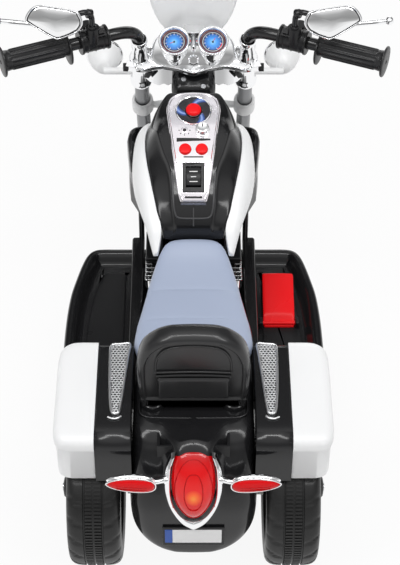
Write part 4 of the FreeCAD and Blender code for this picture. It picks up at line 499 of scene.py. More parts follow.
# White side panels by the place along Y, and their section in shares of width and height
SIDE_OUT = ((-70, 53), (-46, 60.5), (-20, 69.7), (20, 79.8), (60, 84), (105, 83), (128, 75.6), (136, 68),
            (140, 60))
SIDE_TOP = ((-70, 283), (-46, 306.5), (0, 333), (60, 348), (119, 348), (132, 342), (140, 332))
SIDE_LOW = ((-70, 274.6), (-46, 292), (-34, 302.2), (140, 302.2))
SIDE_STATIONS = (-70, -67, -60, -50, -40, -28, -14, 2, 20, 40, 60, 80, 98, 112, 122, 130, 136, 139, 140)
SIDE_SECTION = ((0, 1.0), (0.28, 0.985), (0.58, 0.90), (0.82, 0.70), (0.95, 0.42), (1.0, 0.14), (0.99, 0.0),
                (0.5, 0.0), (0.0, 0.0), (0.0, 0.5))
# Reach of the frame flanks by the place along Y
FLANK_OUT = ((49, 42), (50, 52), (52, 60), (58, 69), (70, 77.5), (96, 88.4), (124, 91.6), (142, 89.5),
             (154, 83.5), (164, 73), (168.5, 60), (170, 44))
FLANK_STATIONS = (49, 50, 52, 58, 64, 70, 82, 96, 110, 124, 136, 147, 155, 162, 167, 169.5, 170)
FLANK_IN = 39


def tank_section(y):
    """Right half of the tank's section, from the top middle round to the bottom middle."""
    top, half, base = along(TANK_TOP, y), along(TANK_HALF, y), along(TANK_LIP, y)
    ridge = min(along(TANK_RIDGE, y), half - 6)

    def roof(x):
        return min(top, along(TANK_ARCH, x))

    crest = roof(ridge) - 0.8
    edge = min(crest - 5, along(SIDE_TOP, y) - 1.2) if y > -44 else base + (top - base) * 0.4
    step = crest - min(5.0, 0.55 * (crest - edge))
    points = ((0, top), (ridge * 0.5, top - 0.1), (ridge - 6, roof(ridge - 6) - 0.5),
              (ridge - 1.6, crest + 0.9), (ridge, crest), (ridge + 2.6, step),
              ((ridge + 3 + half) / 2, (step + edge) / 2 - 0.8), (half - 1.5, edge + 0.6),
              (half, edge - 1), (half, base + 0.4), (half - 3, base), (0, base))
    return [Vector((x, y, z)) for x, z in points]


def tank():
    bm = bmesh.new()
    rows = skin(bm, [both(tank_section(y)) for y in TANK_STATIONS])
    for index, weight in TANK_CREASES:
        crease(bm, rows, index, weight)
        crease(bm, rows, len(rows[0]) - index, weight)
    piece("tank_shell", bm, "black_gloss", "chassis", ("tank_cover",), levels=2)

    seam = bmesh.new()
    tube(seam, [Vector((0, y, along(TANK_TOP, y) + 0.2)) for y in (-44, -42, -40, -36, -32, -28)], 0.9, 8)
    line = [(x, y, along(TANK_TOP, y) + 0.1) for x, y in TANK_SEAM]
    tube(seam, rounded(line, 6, False), 1.2, 10)
    # The seams take the lighter grey as a painted highlight
    piece("tank_seams", seam, "black_gloss", "chassis", mat=SEAM_HIGHLIGHT)


def side_panel(sign, word):
    bm = bmesh.new()
    rings = []
    for y in SIDE_STATIONS:
        out, top, low = along(SIDE_OUT, y), along(SIDE_TOP, y), along(SIDE_LOW, y)
        inner = along(TANK_HALF, y) + 0.5 if y > -46 else 40.8 + (-46 - y) * 0.26
        inner = min(inner, out - 4)
        wide, tall = out - inner, top - low
        rings.append([Vector((inner + wide * a, y, low + tall * b)) for a, b in SIDE_SECTION])
    rows = skin(bm, rings)
    for index in (0, 6, 8):
        crease(bm, rows, index, 0.8)
    piece("side_panel_" + word, handed(bm, sign), "white_gloss", "chassis", ("tank_side_" + word,), levels=2)


def flank(sign, word):
    rings = []
    for y in FLANK_STATIONS:
        out = along(FLANK_OUT, y)
        section = ((FLANK_IN, 301.9), (out - 5, 301.9), (out - 0.4, 297), (out + 0.4, 286), (out, 264),
                   (out - 2, 242), (out - 9, 226.5), (FLANK_IN, 226))
        rings.append([Vector((x, y, z)) for x, z in section])
    piece("flank_cover_" + word, handed(loft(rings), sign), "black_gloss", "chassis", levels=2)


def flank_lips():
    """Rounded upper edge of each frame flank, standing outside the white panel."""
    rings = []
    for k in range(21):
        y = 88 + 4 * k
        out = along(FLANK_OUT, y) + 0.5
        wide = 9 if y > 142 else min(9, max(1.2, out - along(SIDE_OUT, y) - 0.7))
        top = 298 + 22 * max(0.0, math.sin(math.pi * k / 20)) ** 0.6
        section = ((1.0, 286), (1.0, top - 3), (0.75, top - 0.6), (0.4, top - 0.6), (0.12, top - 3.6),
                   (0, top - 9), (0, 286))
        rings.append([Vector((out - wide * a, y, z)) for a, z in section])
    pairs("flank_lips", loft(rings), "black_gloss", "chassis", angle=60)


# Control panel, following the facets of the tank

# Underside of the panel seen from the side, as pairs of y and height
PANEL_LINE = ((-30.9, 321.7), (-17.6, 335.5), (25.6, 360.4), (77.3, 378.3), (132.8, 391.1))
# Right half of its outline, as pairs of x and y
PANEL_EDGE = ((0, 127.4), (18, 125.4), (31, 117), (36, 101.5), (34.8, 84.4), (30.6, 52), (25.4, 16.2),
              (20.4, -15.3), (16.6, -26))
# Height above the underside and step inwards of each ring of its edge
PANEL_LIP = ((0.3, 0.4), (4.6, 0.0), (5.7, 0.6), (6.2, 1.5), (6.2, 2.6), (5.8, 3.3), (5.3, 3.7))
PANEL_THICK = 5.3
PANEL_FOLD = 24
START, JACK, KNOB, ROCKER = (0, 96.2), (-12, 65.4), (12, 65.4), (0, 1.4)
MUSIC_X, MUSIC_Y = 11, 37.5
PANEL_HOLES = ((START, 11.9), ((-MUSIC_X, MUSIC_Y), 8.4), ((MUSIC_X, MUSIC_Y), 8.4), (JACK, 4.0))
# Radius and height round the section of the start button's ring
SURROUND = ((11.95, 0.1), (11.95, 0.3), (17, 0.5), (22.6, 0.9), (22.8, 0.1))
# Turned collar of the audio socket: distance along the axis and radius
JACK_COLLAR = ((-6, 3.9), (0.4, 3.9), (0.6, 4.6), (0.9, 4.6), (1.1, 4.2), (1.1, 2.6), (0.8, 2.3), (-6, 2.3),
               (-6, 3.9))
# Dark strip: place across, rear edge and front edge
STRIP = ((-22.5, -3.6, 2.6), (-12, -2.8, 2.6), (0, -2.2, 2.4), (12, -2.0, 2.0), (22.5, -1.2, 1.4))
# Bars on the panel: name, size, lift, place along Y, slot and look
# The groove and the slot are near-black bars, painted shade in them
PANEL_BARS = (("panel_groove", (26, 1.5, 0.8), 0.0, 26.6, "black_satin", {"bevel": 0.2, "mat": SHADE_AND_TRIM_BLACK}),
              ("panel_foot", (29, 7, 3), 0.8, -22.6, "silver_panel", {"bevel": 1.3, "segments": 3}),
              ("panel_slot", (23, 2.4, 1), 2.2, -21.4, "black_satin", {"bevel": 0.4, "mat": SHADE_AND_TRIM_BLACK}))
# Turned profiles: distance along the axis and radius
START_CAP = ((0.4, 10.2), (3.0, 10.2), (4.2, 9.6), (5.2, 8.2), (5.9, 6.0), (6.3, 3.4), (6.4, 0.3))
START_COLLAR = ((-9, 11.1), (-8.6, 11.5), (0.8, 11.5), (1.6, 11.1), (1.8, 10.6), (1.0, 10.2), (0.6, 9.7),
                (-9, 9.7), (-9, 11.1))
MUSIC_CAP = ((-9, 7.6), (-8.6, 8), (1.8, 8), (3.1, 7.44), (3.8, 5.76), (4, 3.2), (4.05, 0.3))
KNOB_PROFILE = ((-9, 3), (0.3, 3), (0.3, 9.4), (0.8, 9.8), (1.3, 9.8), (1.6, 8.8), (8.2, 8.3), (9.0, 7.4),
                (9.2, 6.6), (8.7, 5.8), (8.5, 0.2))
# Rocker seen from the side, as pairs of y and height
PADDLE = ((-12.5, -5), (12.5, -5), (12.5, 4.4), (11.9, 5), (6, 3.7), (0, 3.0), (-6, 3.7), (-11.9, 5),
          (-12.5, 4.4))
# Place along Y, height and width of its marks
ROCKER_MARKS = ((7.0, 4.05, 11.0), (0, 3.2, 7.0), (-7.0, 4.05, 11.0))


def line_at(y):
    """Height and slope of the panel's underside."""
    for (a, low), (b, high) in zip(PANEL_LINE, PANEL_LINE[1:]):
        if y <= b:
            return low + (high - low) * (y - a) / (b - a), math.atan2(high - low, b - a)
    return PANEL_LINE[-1][1], 0.0


def on_panel(x, y):
    """Placement on the panel face, in metres."""
    z, slope = line_at(y)
    return Matrix.Translation(Vector((x, y, z + PANEL_THICK)) * MM) @ Matrix.Rotation(slope, 4, "X")


def cutter(bm, place):
    thing = bare("cutter", bm)
    thing.matrix_world = place
    return thing


def subtract(thing, tools):
    """Cuts the tools out of a piece and removes them."""
    for tool in tools:
        cut = thing.modifiers.new("cut", "BOOLEAN")
        cut.operation = "DIFFERENCE"
        cut.solver = "EXACT"
        cut.object = tool
    bpy.context.view_layer.update()
    shape = bpy.data.meshes.new_from_object(thing.evaluated_get(bpy.context.evaluated_depsgraph_get()))
    thing.modifiers.clear()
    old = thing.data
    thing.data = shape
    bpy.data.meshes.remove(old)
    for tool in tools:
        mesh = tool.data
        bpy.data.objects.remove(tool)
        bpy.data.meshes.remove(mesh)
    shape.shade_smooth()
    shape.set_sharp_from_angle(angle=math.radians(PANEL_FOLD))


def control_panel():
    loop = both(outline(PANEL_EDGE))
    rings = []
    for lift, inward in PANEL_LIP:
        rings.append([Vector((p.x, p.y, line_at(p.y)[0] + lift)) for p in inset(loop, inward)])
    bm = loft(rings)
    for y, _ in PANEL_LINE[1:-1]:
        bmesh.ops.bisect_plane(bm, geom=bm.verts[:] + bm.edges[:] + bm.faces[:], plane_co=(0, y, 0),
                               plane_no=(0, 1, 0))
    base = piece("panel_face", bm, "silver_panel", "chassis", ("control_panel",), angle=PANEL_FOLD)
    tools = [cutter(turned(((-12, r), (12, r)), 40), on_panel(*spot)) for spot, r in PANEL_HOLES]
    tools.append(cutter(boxes(((29.8, 40.8, 40), (0, 0, 0))), on_panel(*ROCKER)))
    subtract(base, tools)


def panel_trim():
    rings = [[Vector((r * c, r * s, z)) for c, s in circle(72)] for r, z in SURROUND]
    disc = loft(rings + [rings[0]], caps=(False, False))
    piece("button_surround", disc, "black_gloss", "chassis", mat=SWIRL, place=on_panel(*START))
    rim = bmesh.new()
    hoop(rim, 23.3, 0.6, 1.0, count=72)
    piece("surround_rim", rim, "chrome_plate", "chassis", place=on_panel(*START))
    collar = turned(JACK_COLLAR, 32)
    piece("jack_collar", collar, "silver_panel", "chassis", ("audio_socket",), place=on_panel(*JACK))
    marks = turned(((-6.2, 3.0), (-5.6, 3.0), (-5.6, 0.1)), 24)
    for k in range(5):
        spoke(marks, (1.0, 1.6, 0.5), 7.2, math.radians(180 + 45 * k), 0.1)
    piece("jack_marks", marks, "black_satin", "chassis", mat=SHADE_AND_TRIM_BLACK, place=on_panel(*JACK))
    rings = []
    for x, low, high in STRIP:
        section = ((low, -0.2), (high, -0.2), (high - 0.2, 0.35), (low + 0.2, 0.35))
        rings.append([Vector((x, y, z)) for y, z in section])
    piece("panel_strip", loft(rings), "black_satin", "chassis", mat=SHADE_AND_TRIM_BLACK, place=on_panel(0, 51.8))
    for name, size, lift, y, slot, more in PANEL_BARS:
        piece(name, boxes((size, (0, 0, lift))), slot, "chassis", place=on_panel(0, y), **more)


def controls():
    cap = turned(START_CAP, 56)
    piece("start_cap", cap, "red_plastic", "engine_button", ("engine_button",), place=on_panel(*START))
    piece("start_collar", turned(START_COLLAR, 56), "black_gloss", "engine_button", place=on_panel(*START))
    for sign, word in SIDES:
        name = "music_button_" + word
        spot = on_panel(MUSIC_X * sign, MUSIC_Y)
        piece("music_cap_" + word, turned(MUSIC_CAP), "red_plastic", name, (name,), place=spot)

    def fluted(s, a):
        return 0.35 * math.cos(10 * a) if 1.5 < s < 8.4 else 0.0

    dial = turned(KNOB_PROFILE, 80, ripple=fluted)
    piece("volume_dial", dial, "chrome_plate", "volume_knob", ("volume_knob",), mat=RIM_CHROME,
          place=on_panel(*KNOB))
    pointer = boxes(((1.3, 5.0, 0.8), (0, 3.2, 8.7)))
    piece("volume_pointer", pointer, "black_satin", "volume_knob", mat=SHADE_AND_TRIM_BLACK, place=on_panel(*KNOB))

    rings = []
    for x, side in ((-10, 0.8), (-9.2, 0), (9.2, 0), (10, 0.8)):
        shrink, drop = 1 - side * 0.04, side * 0.7
        rings.append([Vector((x, y * shrink, z - (drop if z > 0 else 0))) for y, z in PADDLE])
    paddle = loft(rings)
    tube(paddle, [Vector((-12, 0, 0)), Vector((12, 0, 0))], 1.5, 16)
    piece("rocker_paddle", paddle, "black_satin", "rocker", ("rocker",), angle=30, place=on_panel(*ROCKER))
    marks = boxes(*(((wide, 1.1, 0.4), (0, y, z)) for y, z, wide in ROCKER_MARKS))
    piece("rocker_marks", marks, "plate_white", "rocker", place=on_panel(*ROCKER))


# Seat, backrest and rear body

# Seat by the place along Y, and its section in shares of half width and height
SEAT_TOP = ((-240, 279), (-224, 277.4), (-192, 274.8), (-128, 274.4), (-85.6, 280.6), (-68, 289),
            (-59.7, 292.6), (-52, 291), (-48.5, 286), (-47, 279))
SEAT_HALF = ((-240, 62), (-236, 67), (-228, 72), (-219, 75), (-211, 75.6), (-198, 74.4), (-182, 72.4),
             (-166, 69), (-151, 66), (-122, 61), (-100, 56.6), (-85.6, 52.6), (-68, 47.4), (-58, 42.5),
             (-52.5, 38.4), (-49, 33), (-47, 27))
SEAT_LOW = 247.2
SEAT_GROOVES = (-181, -129)
GROOVE_DEEP = 0.9
SEAT_STATIONS = (-240, -238.6, -235, -228, -219, -209, -198, -189, -183.5, -181, -178.5, -172, -160, -148,
                 -137, -131.5, -129, -126.5, -120, -108, -94, -80, -69, -60, -55, -51.5, -49, -47)
SEAT_SECTION = ((0, 1.0), (0.30, 0.995), (0.60, 0.97), (0.82, 0.915), (0.94, 0.78), (0.99, 0.52),
                (1.0, 0.25), (0.985, 0.04), (0.93, 0.0), (0.4, 0.0), (0, 0.0))
SKIRT_STATIONS = (-236, -230, -215, -200, -180, -160, -140, -120, -100, -80, -66, -58)
SKIRT_IN = 44.4
# Backrest: half outline in x and z, lean by height, then the step inwards and y of each ring
BACK_EDGE = ((0, 378), (24, 376.8), (36, 373.6), (46, 368), (58.5, 356), (65.7, 339), (68, 322),
             (67.8, 292), (66.8, 270), (65, 264.4), (60, 262.2), (0, 262))
BACK_LEAN = ((262, 2.0), (296, 0.0), (350, 0.3), (366, 1.6), (378, 4.0))
BACK_STEPS = ((12, -288.2), (6, -287.4), (2.4, -288.6), (0.6, -291.4), (0, -296), (0, -306), (0.8, -311),
              (2.6, -314.6), (5.0, -316.8), (7.4, -317.6), (8.8, -317.2), (9.8, -315.4), (12, -315.0))
BACK_POST = ((250.4, 7.6), (251, 8), (258, 8), (260, 9.6), (263, 10.6), (268, 10.6))
BACK_ARCH = ((-45, -315.4, 320), (-44.6, -315.3, 336), (-40, -315.0, 350), (-29, -314.6, 359),
             (0, -313.8, 363), (29, -314.6, 359), (40, -315.0, 350), (44.6, -315.3, 336),
             (45, -315.4, 320), (42, -315.4, 318.6), (0, -315.4, 320), (-42, -315.4, 318.6))
BACK_SLOT = ((-45, -315.3, 312), (-20, -315.5, 314), (20, -315.5, 314), (45, -315.3, 312))
POST_X = 50
# Rear body by height, and its rounded rear corner in shares of half width and length
BODY_HALF = ((80, 40), (84, 52), (90, 60), (100, 68), (110, 72.6), (123, 77), (135, 78.6), (165, 78.6),
             (180, 75), (228, 75), (240, 73.4), (246, 70), (250, 63))
BODY_REAR = ((80, -401), (86, -403), (110, -404), (200, -404), (216, -403), (230, -399), (241, -391),
             (247, -382), (250, -371))
BODY_FRONT = -242
BODY_DECK = 250
DECK_MIDDLE = -310
LINING_SHARE, LINING_STEP = 0.955, 8
HOOD_HALF, HOOD_BLEND = 15, 26
BODY_CORNER = ((1.0, 1.0), (1.0, 0.8), (1.0, 0.6), (1.0, 0.42), (1.0, 0.3), (1.0, 0.2), (0.985, 0.13),
               (0.94, 0.07), (0.86, 0.035), (0.77, 0.016), (0.69, 0.009), (0.62, 0.005), (0.56, 0.002))
BODY_STATIONS = (80, 81.5, 84, 90, 98, 108, 118, 128, 145, 165, 180, 190, 199, 208, 215, 222, 228, 233, 237,
                 240.5, 243.5, 246, 248, 249.3, 250)
# Rear face beside the tail lamp, by height
TAIL_SLOPE = ((150, -404), (172, -404), (184, -400), (198, -391.5), (214, -380.5), (230, -368),
              (240, -358.5), (245, -352), (248, -346), (250, -338))
POST_SEAT = ((249, 15), (254, 14.6), (257.2, 13.6), (258, 12.4), (257.2, 9.4), (251.6, 8.8), (251, 0.3))
DECK_RIDGE = ((-66, -296), (-66, -318), (-60, -325.5), (-48, -328), (0, -329), (48, -328), (60, -325.5),
              (66, -318), (66, -296))
DECK_SEAM = ((0, -331, 250.6), (0, -350, 250.9), (0, -362, 252.4), (0, -372, 254.6))


def seat():
    rings = []
    for y in SEAT_STATIONS:
        top, half = along(SEAT_TOP, y), along(SEAT_HALF, y)
        if y in SEAT_GROOVES:
            top -= GROOVE_DEEP
        tall = top - SEAT_LOW
        rings.append(both([Vector((half * a, y, SEAT_LOW + tall * b)) for a, b in SEAT_SECTION]))
    piece("seat_shell", loft(rings), "seat_blue", "chassis", ("seat",), levels=2)


def seat_skirt():
    """Dark edge of the seat pan on each side."""
    rings = []
    for y in SKIRT_STATIONS:
        out = min(along(SEAT_HALF, y) + 2.6, 74.9 if y < -200 else 99)
        section = ((SKIRT_IN, 248.6), (out - 1, 249.4), (out, 247), (out - 0.6, 239), (out - 5, 231),
                   (SKIRT_IN, 226))
        rings.append([Vector((x, y, z)) for x, z in section])
    pairs("seat_skirts", loft(rings), "black_gloss", "chassis", angle=50)


def backrest():
    loop = both(outline(BACK_EDGE))
    rings = []
    for inward, y in BACK_STEPS:
        lean = -0.2 if y > -300 else 1.0
        rings.append([Vector((p.x, y + along(BACK_LEAN, p.y) * lean, p.y)) for p in inset(loop, inward)])
    bm = loft(rings)
    for sign, _ in SIDES:
        lathe(bm, BACK_POST, 28, (POST_X * sign, -302, 0))
    # Shell, bead and pad take the lighter black as painted sheen
    piece("backrest_shell", bm, "black_gloss", "chassis", ("backrest",), mat=BACK_LIT_BLACK, angle=50)

    bead = bmesh.new()
    arch = rounded(BACK_ARCH, 5)
    tube(bead, arch + [arch[0]], 1.3, 10)
    piece("backrest_bead", bead, "black_gloss", "chassis", mat=BACK_LIT_BLACK)
    pad = boxes(((88, 8, 36), (0, -314.2, 291.5)))
    piece("backrest_pad", pad, "black_gloss", "chassis", mat=BACK_LIT_BLACK, bevel=3.8, segments=5)
    # The slot is a near-black tube, painted shade in the groove
    gap = bmesh.new()
    tube(gap, rounded(BACK_SLOT, 6, False), 1.7, 10)
    piece("backrest_slot", gap, "black_satin", "chassis", mat=SHADE_AND_TRIM_BLACK)


def ramp_up(value, start, length):
    """Share from 0 to 1 of the way past a start."""
    return min(1.0, max(0.0, (value - start) / length))


def scoop(p):
    """Slopes the body away either side of the tail lamp, with a hood over it and a keel below."""
    rear = along(BODY_REAR, p.z)
    t = ramp_up(abs(p.x), HOOD_HALF, HOOD_BLEND)
    new = rear + max(0.0, along(TAIL_SLOPE, p.z) - rear) * t * t * (3 - 2 * t)
    p.y = new + (p.y - rear) / (BODY_FRONT - rear) * (BODY_FRONT - new)
    middle = math.exp(-(p.x / 22) ** 2) * ramp_up(-p.y, 345, 20)
    p.y += 5.0 * middle * ramp_up(p.z, 205, 25)
    p.z += 6.0 * middle * math.exp(-((p.z - BODY_DECK) / 8) ** 2)
    p.z -= 5.0 * ramp_up(92 - p.z, 0, 12) * max(0.0, 1 - (p.x / 48) ** 2)
    return p


def body_ring(z):
    half, rear = along(BODY_HALF, z), along(BODY_REAR, z)
    right = BODY_CORNER + tuple((0.5 - 0.05 * k, 0.0) for k in range(11))
    ring = both([Vector((half * a, rear + (BODY_FRONT - rear) * b, z)) for a, b in right])
    return [scoop(p) for p in ring]


def rear_body():
    bm = bmesh.new()
    rings = []
    for z in (240, 200, 140, 100, 84, 80):
        low = z - 6 if z > 220 else z
        lining = [(p.x * LINING_SHARE, min(p.y + LINING_STEP, BODY_FRONT)) for p in body_ring(z)]
        rings.append([Vector((x, y, low)) for x, y in lining])
    rings += [body_ring(z) for z in BODY_STATIONS]
    top = skin(bm, rings, caps=(True, False))[-1]
    for shrink in (0.93, 0.80, 0.55):
        ring = []
        for v in top:
            x, y = v.co.x * shrink, DECK_MIDDLE + (v.co.y - DECK_MIDDLE) * shrink
            lift = max(0.0, v.co.z - BODY_DECK) * 0.75
            ring.append(bm.verts.new((x, y, BODY_DECK + 0.4 + lift)))
        for i in range(len(top)):
            j = (i + 1) % len(top)
            bm.faces.new((top[i], top[j], ring[j], ring[i]))
        top = ring
    bm.faces.new(top)
    piece("rear_cowl", bm, "black_gloss", "chassis", ("rear_body",), levels=2)

    seats = bmesh.new()
    for sign, _ in SIDES:
        lathe(seats, POST_SEAT, 32, (POST_X * sign, -305, 0))
    tube(seats, rounded([(x, y, 251.0) for x, y in DECK_RIDGE], 6, False), 1.5, 10)
    piece("post_seats", seats, "black_gloss", "chassis")
    seam = bmesh.new()
    tube(seam, rounded(DECK_SEAM, 5, False), 0.6, 8)
    block(seam, (16, 2.2, 1.2), (0, -343, 250.9))
    block(seam, (5, 5, 1.2), (0, -346, 251.0))
    piece("tail_seam", seam, "black_satin", "chassis", mat=SHADE_AND_TRIM_BLACK)


# Rear mudguards, bags and grilles

# Mudguard seen from the side, as pairs of y and height
GUARD_ARC = ((-208.5, 168), (-208.5, 205), (-208.6, 240), (-210, 251), (-214, 257.5), (-222, 260),
             (-260, 260), (-310, 260), (-345, 260), (-358, 258.6), (-367, 254.5), (-373, 247),
             (-375.6, 236), (-376, 215), (-376, 188.6))
GUARD_MIDDLE = Vector((0, -292, 190))
GUARD_THICK = 3.2
# Place across and drop of the outer edge of each slice
GUARD_SLICES = ((75.4, 1.2), (76.6, 0), (98, 0.3), (118, 0), (119.2, 1.2))
GUARD_LINER = ((-210, 170), (-210, 256), (-356, 256), (-372, 246), (-373, 160), (-366, 153), (-340, 152),
               (-325, 180), (-290, 205), (-250, 195), (-230, 172))
# Bag seen from above in x and y, then the height and step inwards of each ring, and if it is inside
BAG_EDGE = ((119.8, -208.4), (146, -208.6), (158, -211.5), (166, -220), (169.4, -234), (170, -254),
            (170, -300), (170, -345), (168.8, -360), (164, -370.5), (154, -375.4), (138, -376),
            (119.8, -376))
BAG_MIDDLE = Vector((119.8, -292, 0))
BAG_WIDE, BAG_HALF_LONG, BAG_WALL = 50.2, 84, 2.6
BAG_PLAN = ((250, 7.0, True), (236, 4.2, True), (190, 4.8, True), (189.2, 3.6, False), (190.4, 2.6, False),
            (243, 2.2, False), (244, 1.6, False), (244.6, 0.1, False), (246, 0, False), (253, 0, False),
            (257.5, 1.0, False), (260.6, 3.2, False), (262.4, 6.6, False), (263, 12, False),
            (263.2, 20, False))
# Grille seen from above, then the step inwards and height of each ring of its rim
GRILLE_EDGE = ((79.4, -214.4), (92, -214.3), (102, -215.4), (105.6, -221), (106, -238), (105.2, -273),
               (103.4, -308), (101.4, -326), (98, -331.6), (93, -331.8), (89.2, -327.5), (87, -312),
               (83.9, -273), (80.6, -234))
GRILLE_RIM = ((-0.4, 260.3), (-0.2, 262.4), (0.5, 263.6), (1.6, 263.9), (2.6, 263.2), (3.0, 262.0),
              (3.0, 260.3))
GRILLE_TAB = ((88, -334, 260.8), (92, -337.6, 261.2), (98, -338.4, 261.2), (104, -335.6, 261))
GRILLE_X, GRILLE_Y = 76.5, -213
CELL_WIDE, CELL_LONG, CELL_Z = 4.4, 3.8, 262.0
HOLE_X, HOLE_Y = 1.72, 1.5
HOLE_TOP, HOLE_LOW = 262.2, 261.0


def guard_lining(outer):
    """The arc of a mudguard moved inwards by its thickness."""
    last = len(outer) - 1
    inner = []
    for i, p in enumerate(outer):
        t = outer[min(i + 1, last)] - outer[max(i - 1, 0)]
        step = Vector((0, t.z, -t.y)).normalized() * GUARD_THICK
        nearer = (p - step - GUARD_MIDDLE).length < (p - GUARD_MIDDLE).length
        inner.append(p - step if nearer else p + step)
    return inner


def mudguards():
    outer = rounded([(0, y, z) for y, z in GUARD_ARC], 4, False)
    inner = guard_lining(outer)
    rings = []
    for x, drop in GUARD_SLICES:
        upper = [Vector((x, p.y, p.z - drop)) for p in outer]
        rings.append(upper + [Vector((x, p.y, p.z)) for p in reversed(inner)])
    bm = loft(rings)
    skin(bm, [[Vector((x, y, z)) for y, z in GUARD_LINER] for x in (75.6, 81.4)])
    pairs("mudguards", bm, "black_gloss", "chassis", ("rear_fenders",), angle=45)


def saddlebag(sign, word):
    """Bag shell from inside its open foot, round the lower edge and up over the lid."""
    edge = outline(BAG_EDGE, 4)
    rings = []
    for z, inward, hollow in BAG_PLAN:
        ring = []
        for p in edge:
            away = p - BAG_MIDDLE
            wall = BAG_WALL if hollow and p.x < 124 else 0
            x = BAG_MIDDLE.x + away.x * (1 - inward / BAG_WIDE) + wall
            ring.append(Vector((x, BAG_MIDDLE.y + away.y * (1 - inward / BAG_HALF_LONG), z)))
        rings.append(ring)
    bm = handed(loft(rings), sign)
    piece("bag_" + word, bm, "white_gloss", "chassis", ("saddlebag_" + word,), angle=40)


def inside(loop, x, y):
    """Whether a point lies inside a loop of the XY plane."""
    hit = False
    for i in range(len(loop)):
        a, b = loop[i], loop[i - 1]
        if (a.y > y) != (b.y > y) and x < (b.x - a.x) * (y - a.y) / (b.y - a.y) + a.x:
            hit = not hit
    return hit


def pierced(bm, x, y):
    """One cell of the grille sheet with its hole."""
    w, t = CELL_WIDE / 2, CELL_LONG / 2
    corners = ((w, 0), (w, t), (0, t), (-w, t), (-w, 0), (-w, -t), (0, -t), (w, -t))
    hole = [(HOLE_X * c, HOLE_Y * s) for c, s in circle(8)]
    outer = [bm.verts.new((x + a, y + b, CELL_Z)) for a, b in corners]
    upper = [bm.verts.new((x + a, y + b, HOLE_TOP)) for a, b in hole]
    lower = [bm.verts.new((x + a, y + b, HOLE_LOW)) for a, b in hole]
    for k in range(8):
        j = (k + 1) % 8
        bm.faces.new((outer[k], outer[j], upper[j], upper[k]))
        bm.faces.new((upper[k], upper[j], lower[j], lower[k]))


def grille():
    loop = outline(GRILLE_EDGE, 5, True)
    room = inset(loop, 2.2)
    sheet = bmesh.new()
    for row in range(33):
        y = GRILLE_Y - row * CELL_LONG
        for column in range(9):
            x = GRILLE_X + CELL_WIDE * column + (CELL_WIDE / 2 if row % 2 else 0)
            if inside(room, x, y):
                pierced(sheet, x, y)
    rings = stepped(loop, GRILLE_RIM)
    rim = loft(rings + [rings[0]], caps=(False, False))
    tube(rim, rounded(GRILLE_TAB, 5, False), 1.3, 10)
    # Near-black sheet under the grille, painted shade seen through its holes
    back = loft(stepped(loop, ((0.3, 260.25), (0.3, 260.7))))
    pairs("grille_sheet", sheet, "chrome_plate", "chassis", ("grilles",), mat=MESH_CHROME)
    pairs("grille_rim", rim, "chrome_plate", "chassis", mat=RIM_CHROME, angle=60)
    pairs("grille_back", back, "black_satin", "chassis", mat=SHADE_AND_TRIM_BLACK)


# Tail lamp, turn signals and plate

# Half width, front and back of the tail lens by height
LENS_HALF = ((160, 3), (162, 8), (166, 13), (172, 17.4), (180, 21.4), (190, 24.8), (204, 27), (218, 27.2),
             (230, 26), (238, 24.4), (243, 22.4), (246.5, 19), (248.6, 12))
LENS_FRONT = ((160, -407), (163, -412.5), (168, -416.6), (176, -419.4), (186, -420), (198, -418.6),
              (210, -414.6), (222, -408.6), (232, -401.6), (241, -393.6), (246, -388), (248.6, -382))
LENS_BACK = ((160, -402), (206, -400), (222, -394), (236, -386), (246, -377), (255, -368))
LENS_STATIONS = (160, 161, 163, 167, 173, 180, 188, 198, 208, 218, 227, 234, 239.5, 243.5, 246.3, 247.9,
                 248.6)
# Lines on the lens: share of its width, lower end and upper end
LENS_EGGS = ((0.86, 166, 245), (0.42, 186, 232))
TAIL_BULB = ((0, 5), (7, 5.6), (10.6, 4.8), (12.6, 2.8), (13.2, 0.2))
# Outer and inner line of the bezel in x and z, and its section in shares across and steps in y
BEZEL_OUT = ((28, 245), (33.4, 235), (35.2, 220), (34.4, 204), (30.8, 184), (23.6, 162), (13.2, 143),
             (0, 131.6))
BEZEL_IN = ((22.6, 248), (27.0, 237), (28.2, 220), (27.8, 204), (25.4, 186), (19.8, 169), (11.4, 155),
            (0, 148))
BEZEL_SECTION = ((0, 2), (0, -3.6), (0.12, -6.0), (0.4, -7.8), (0.72, -8.0), (0.94, -6.8), (1.0, -5.0),
                 (1.0, 2))
BEZEL_ROOT, BEZEL_LEAN, BEZEL_STEP = -403.6, 206, 3.6
# Share along a turn signal, and share of its height there
SIGNAL = ((0.0, 0.20), (0.02, 0.46), (0.06, 0.68), (0.13, 0.86), (0.22, 0.96), (0.34, 1.0), (0.46, 0.985),
          (0.58, 0.93), (0.70, 0.82), (0.81, 0.67), (0.90, 0.48), (0.96, 0.29), (1.0, 0.08))
SIGNAL_START, SIGNAL_LONG, SIGNAL_RISE = 45.4, 59, 4
SIGNAL_Y, SIGNAL_Z = -409.6, 225.2
RIM_Y, RIM_Z, RIM_HALF = -411, 223.6, 12.2
SIGNAL_ARM = ((31, -400, 222), (37, -403, 223.4), (44, -406, 224.6), (56, -408.5, 225))
SIGNAL_LINE = ((56, -415.3, 222.6), (68, -415.8, 223.2), (82, -415.7, 224), (92, -414.9, 224.8))


def lens_at(z):
    """Half width, front and back of the tail lens at a height."""
    return along(LENS_HALF, z), along(LENS_FRONT, z), along(LENS_BACK, z)


def lens_front(x, z):
    """Point just proud of the front of the tail lens."""
    half, front, back = lens_at(z)
    return Vector((x, back + (front - back) * math.sqrt(max(0.0, 1 - (x / half) ** 2)) - 0.1, z))


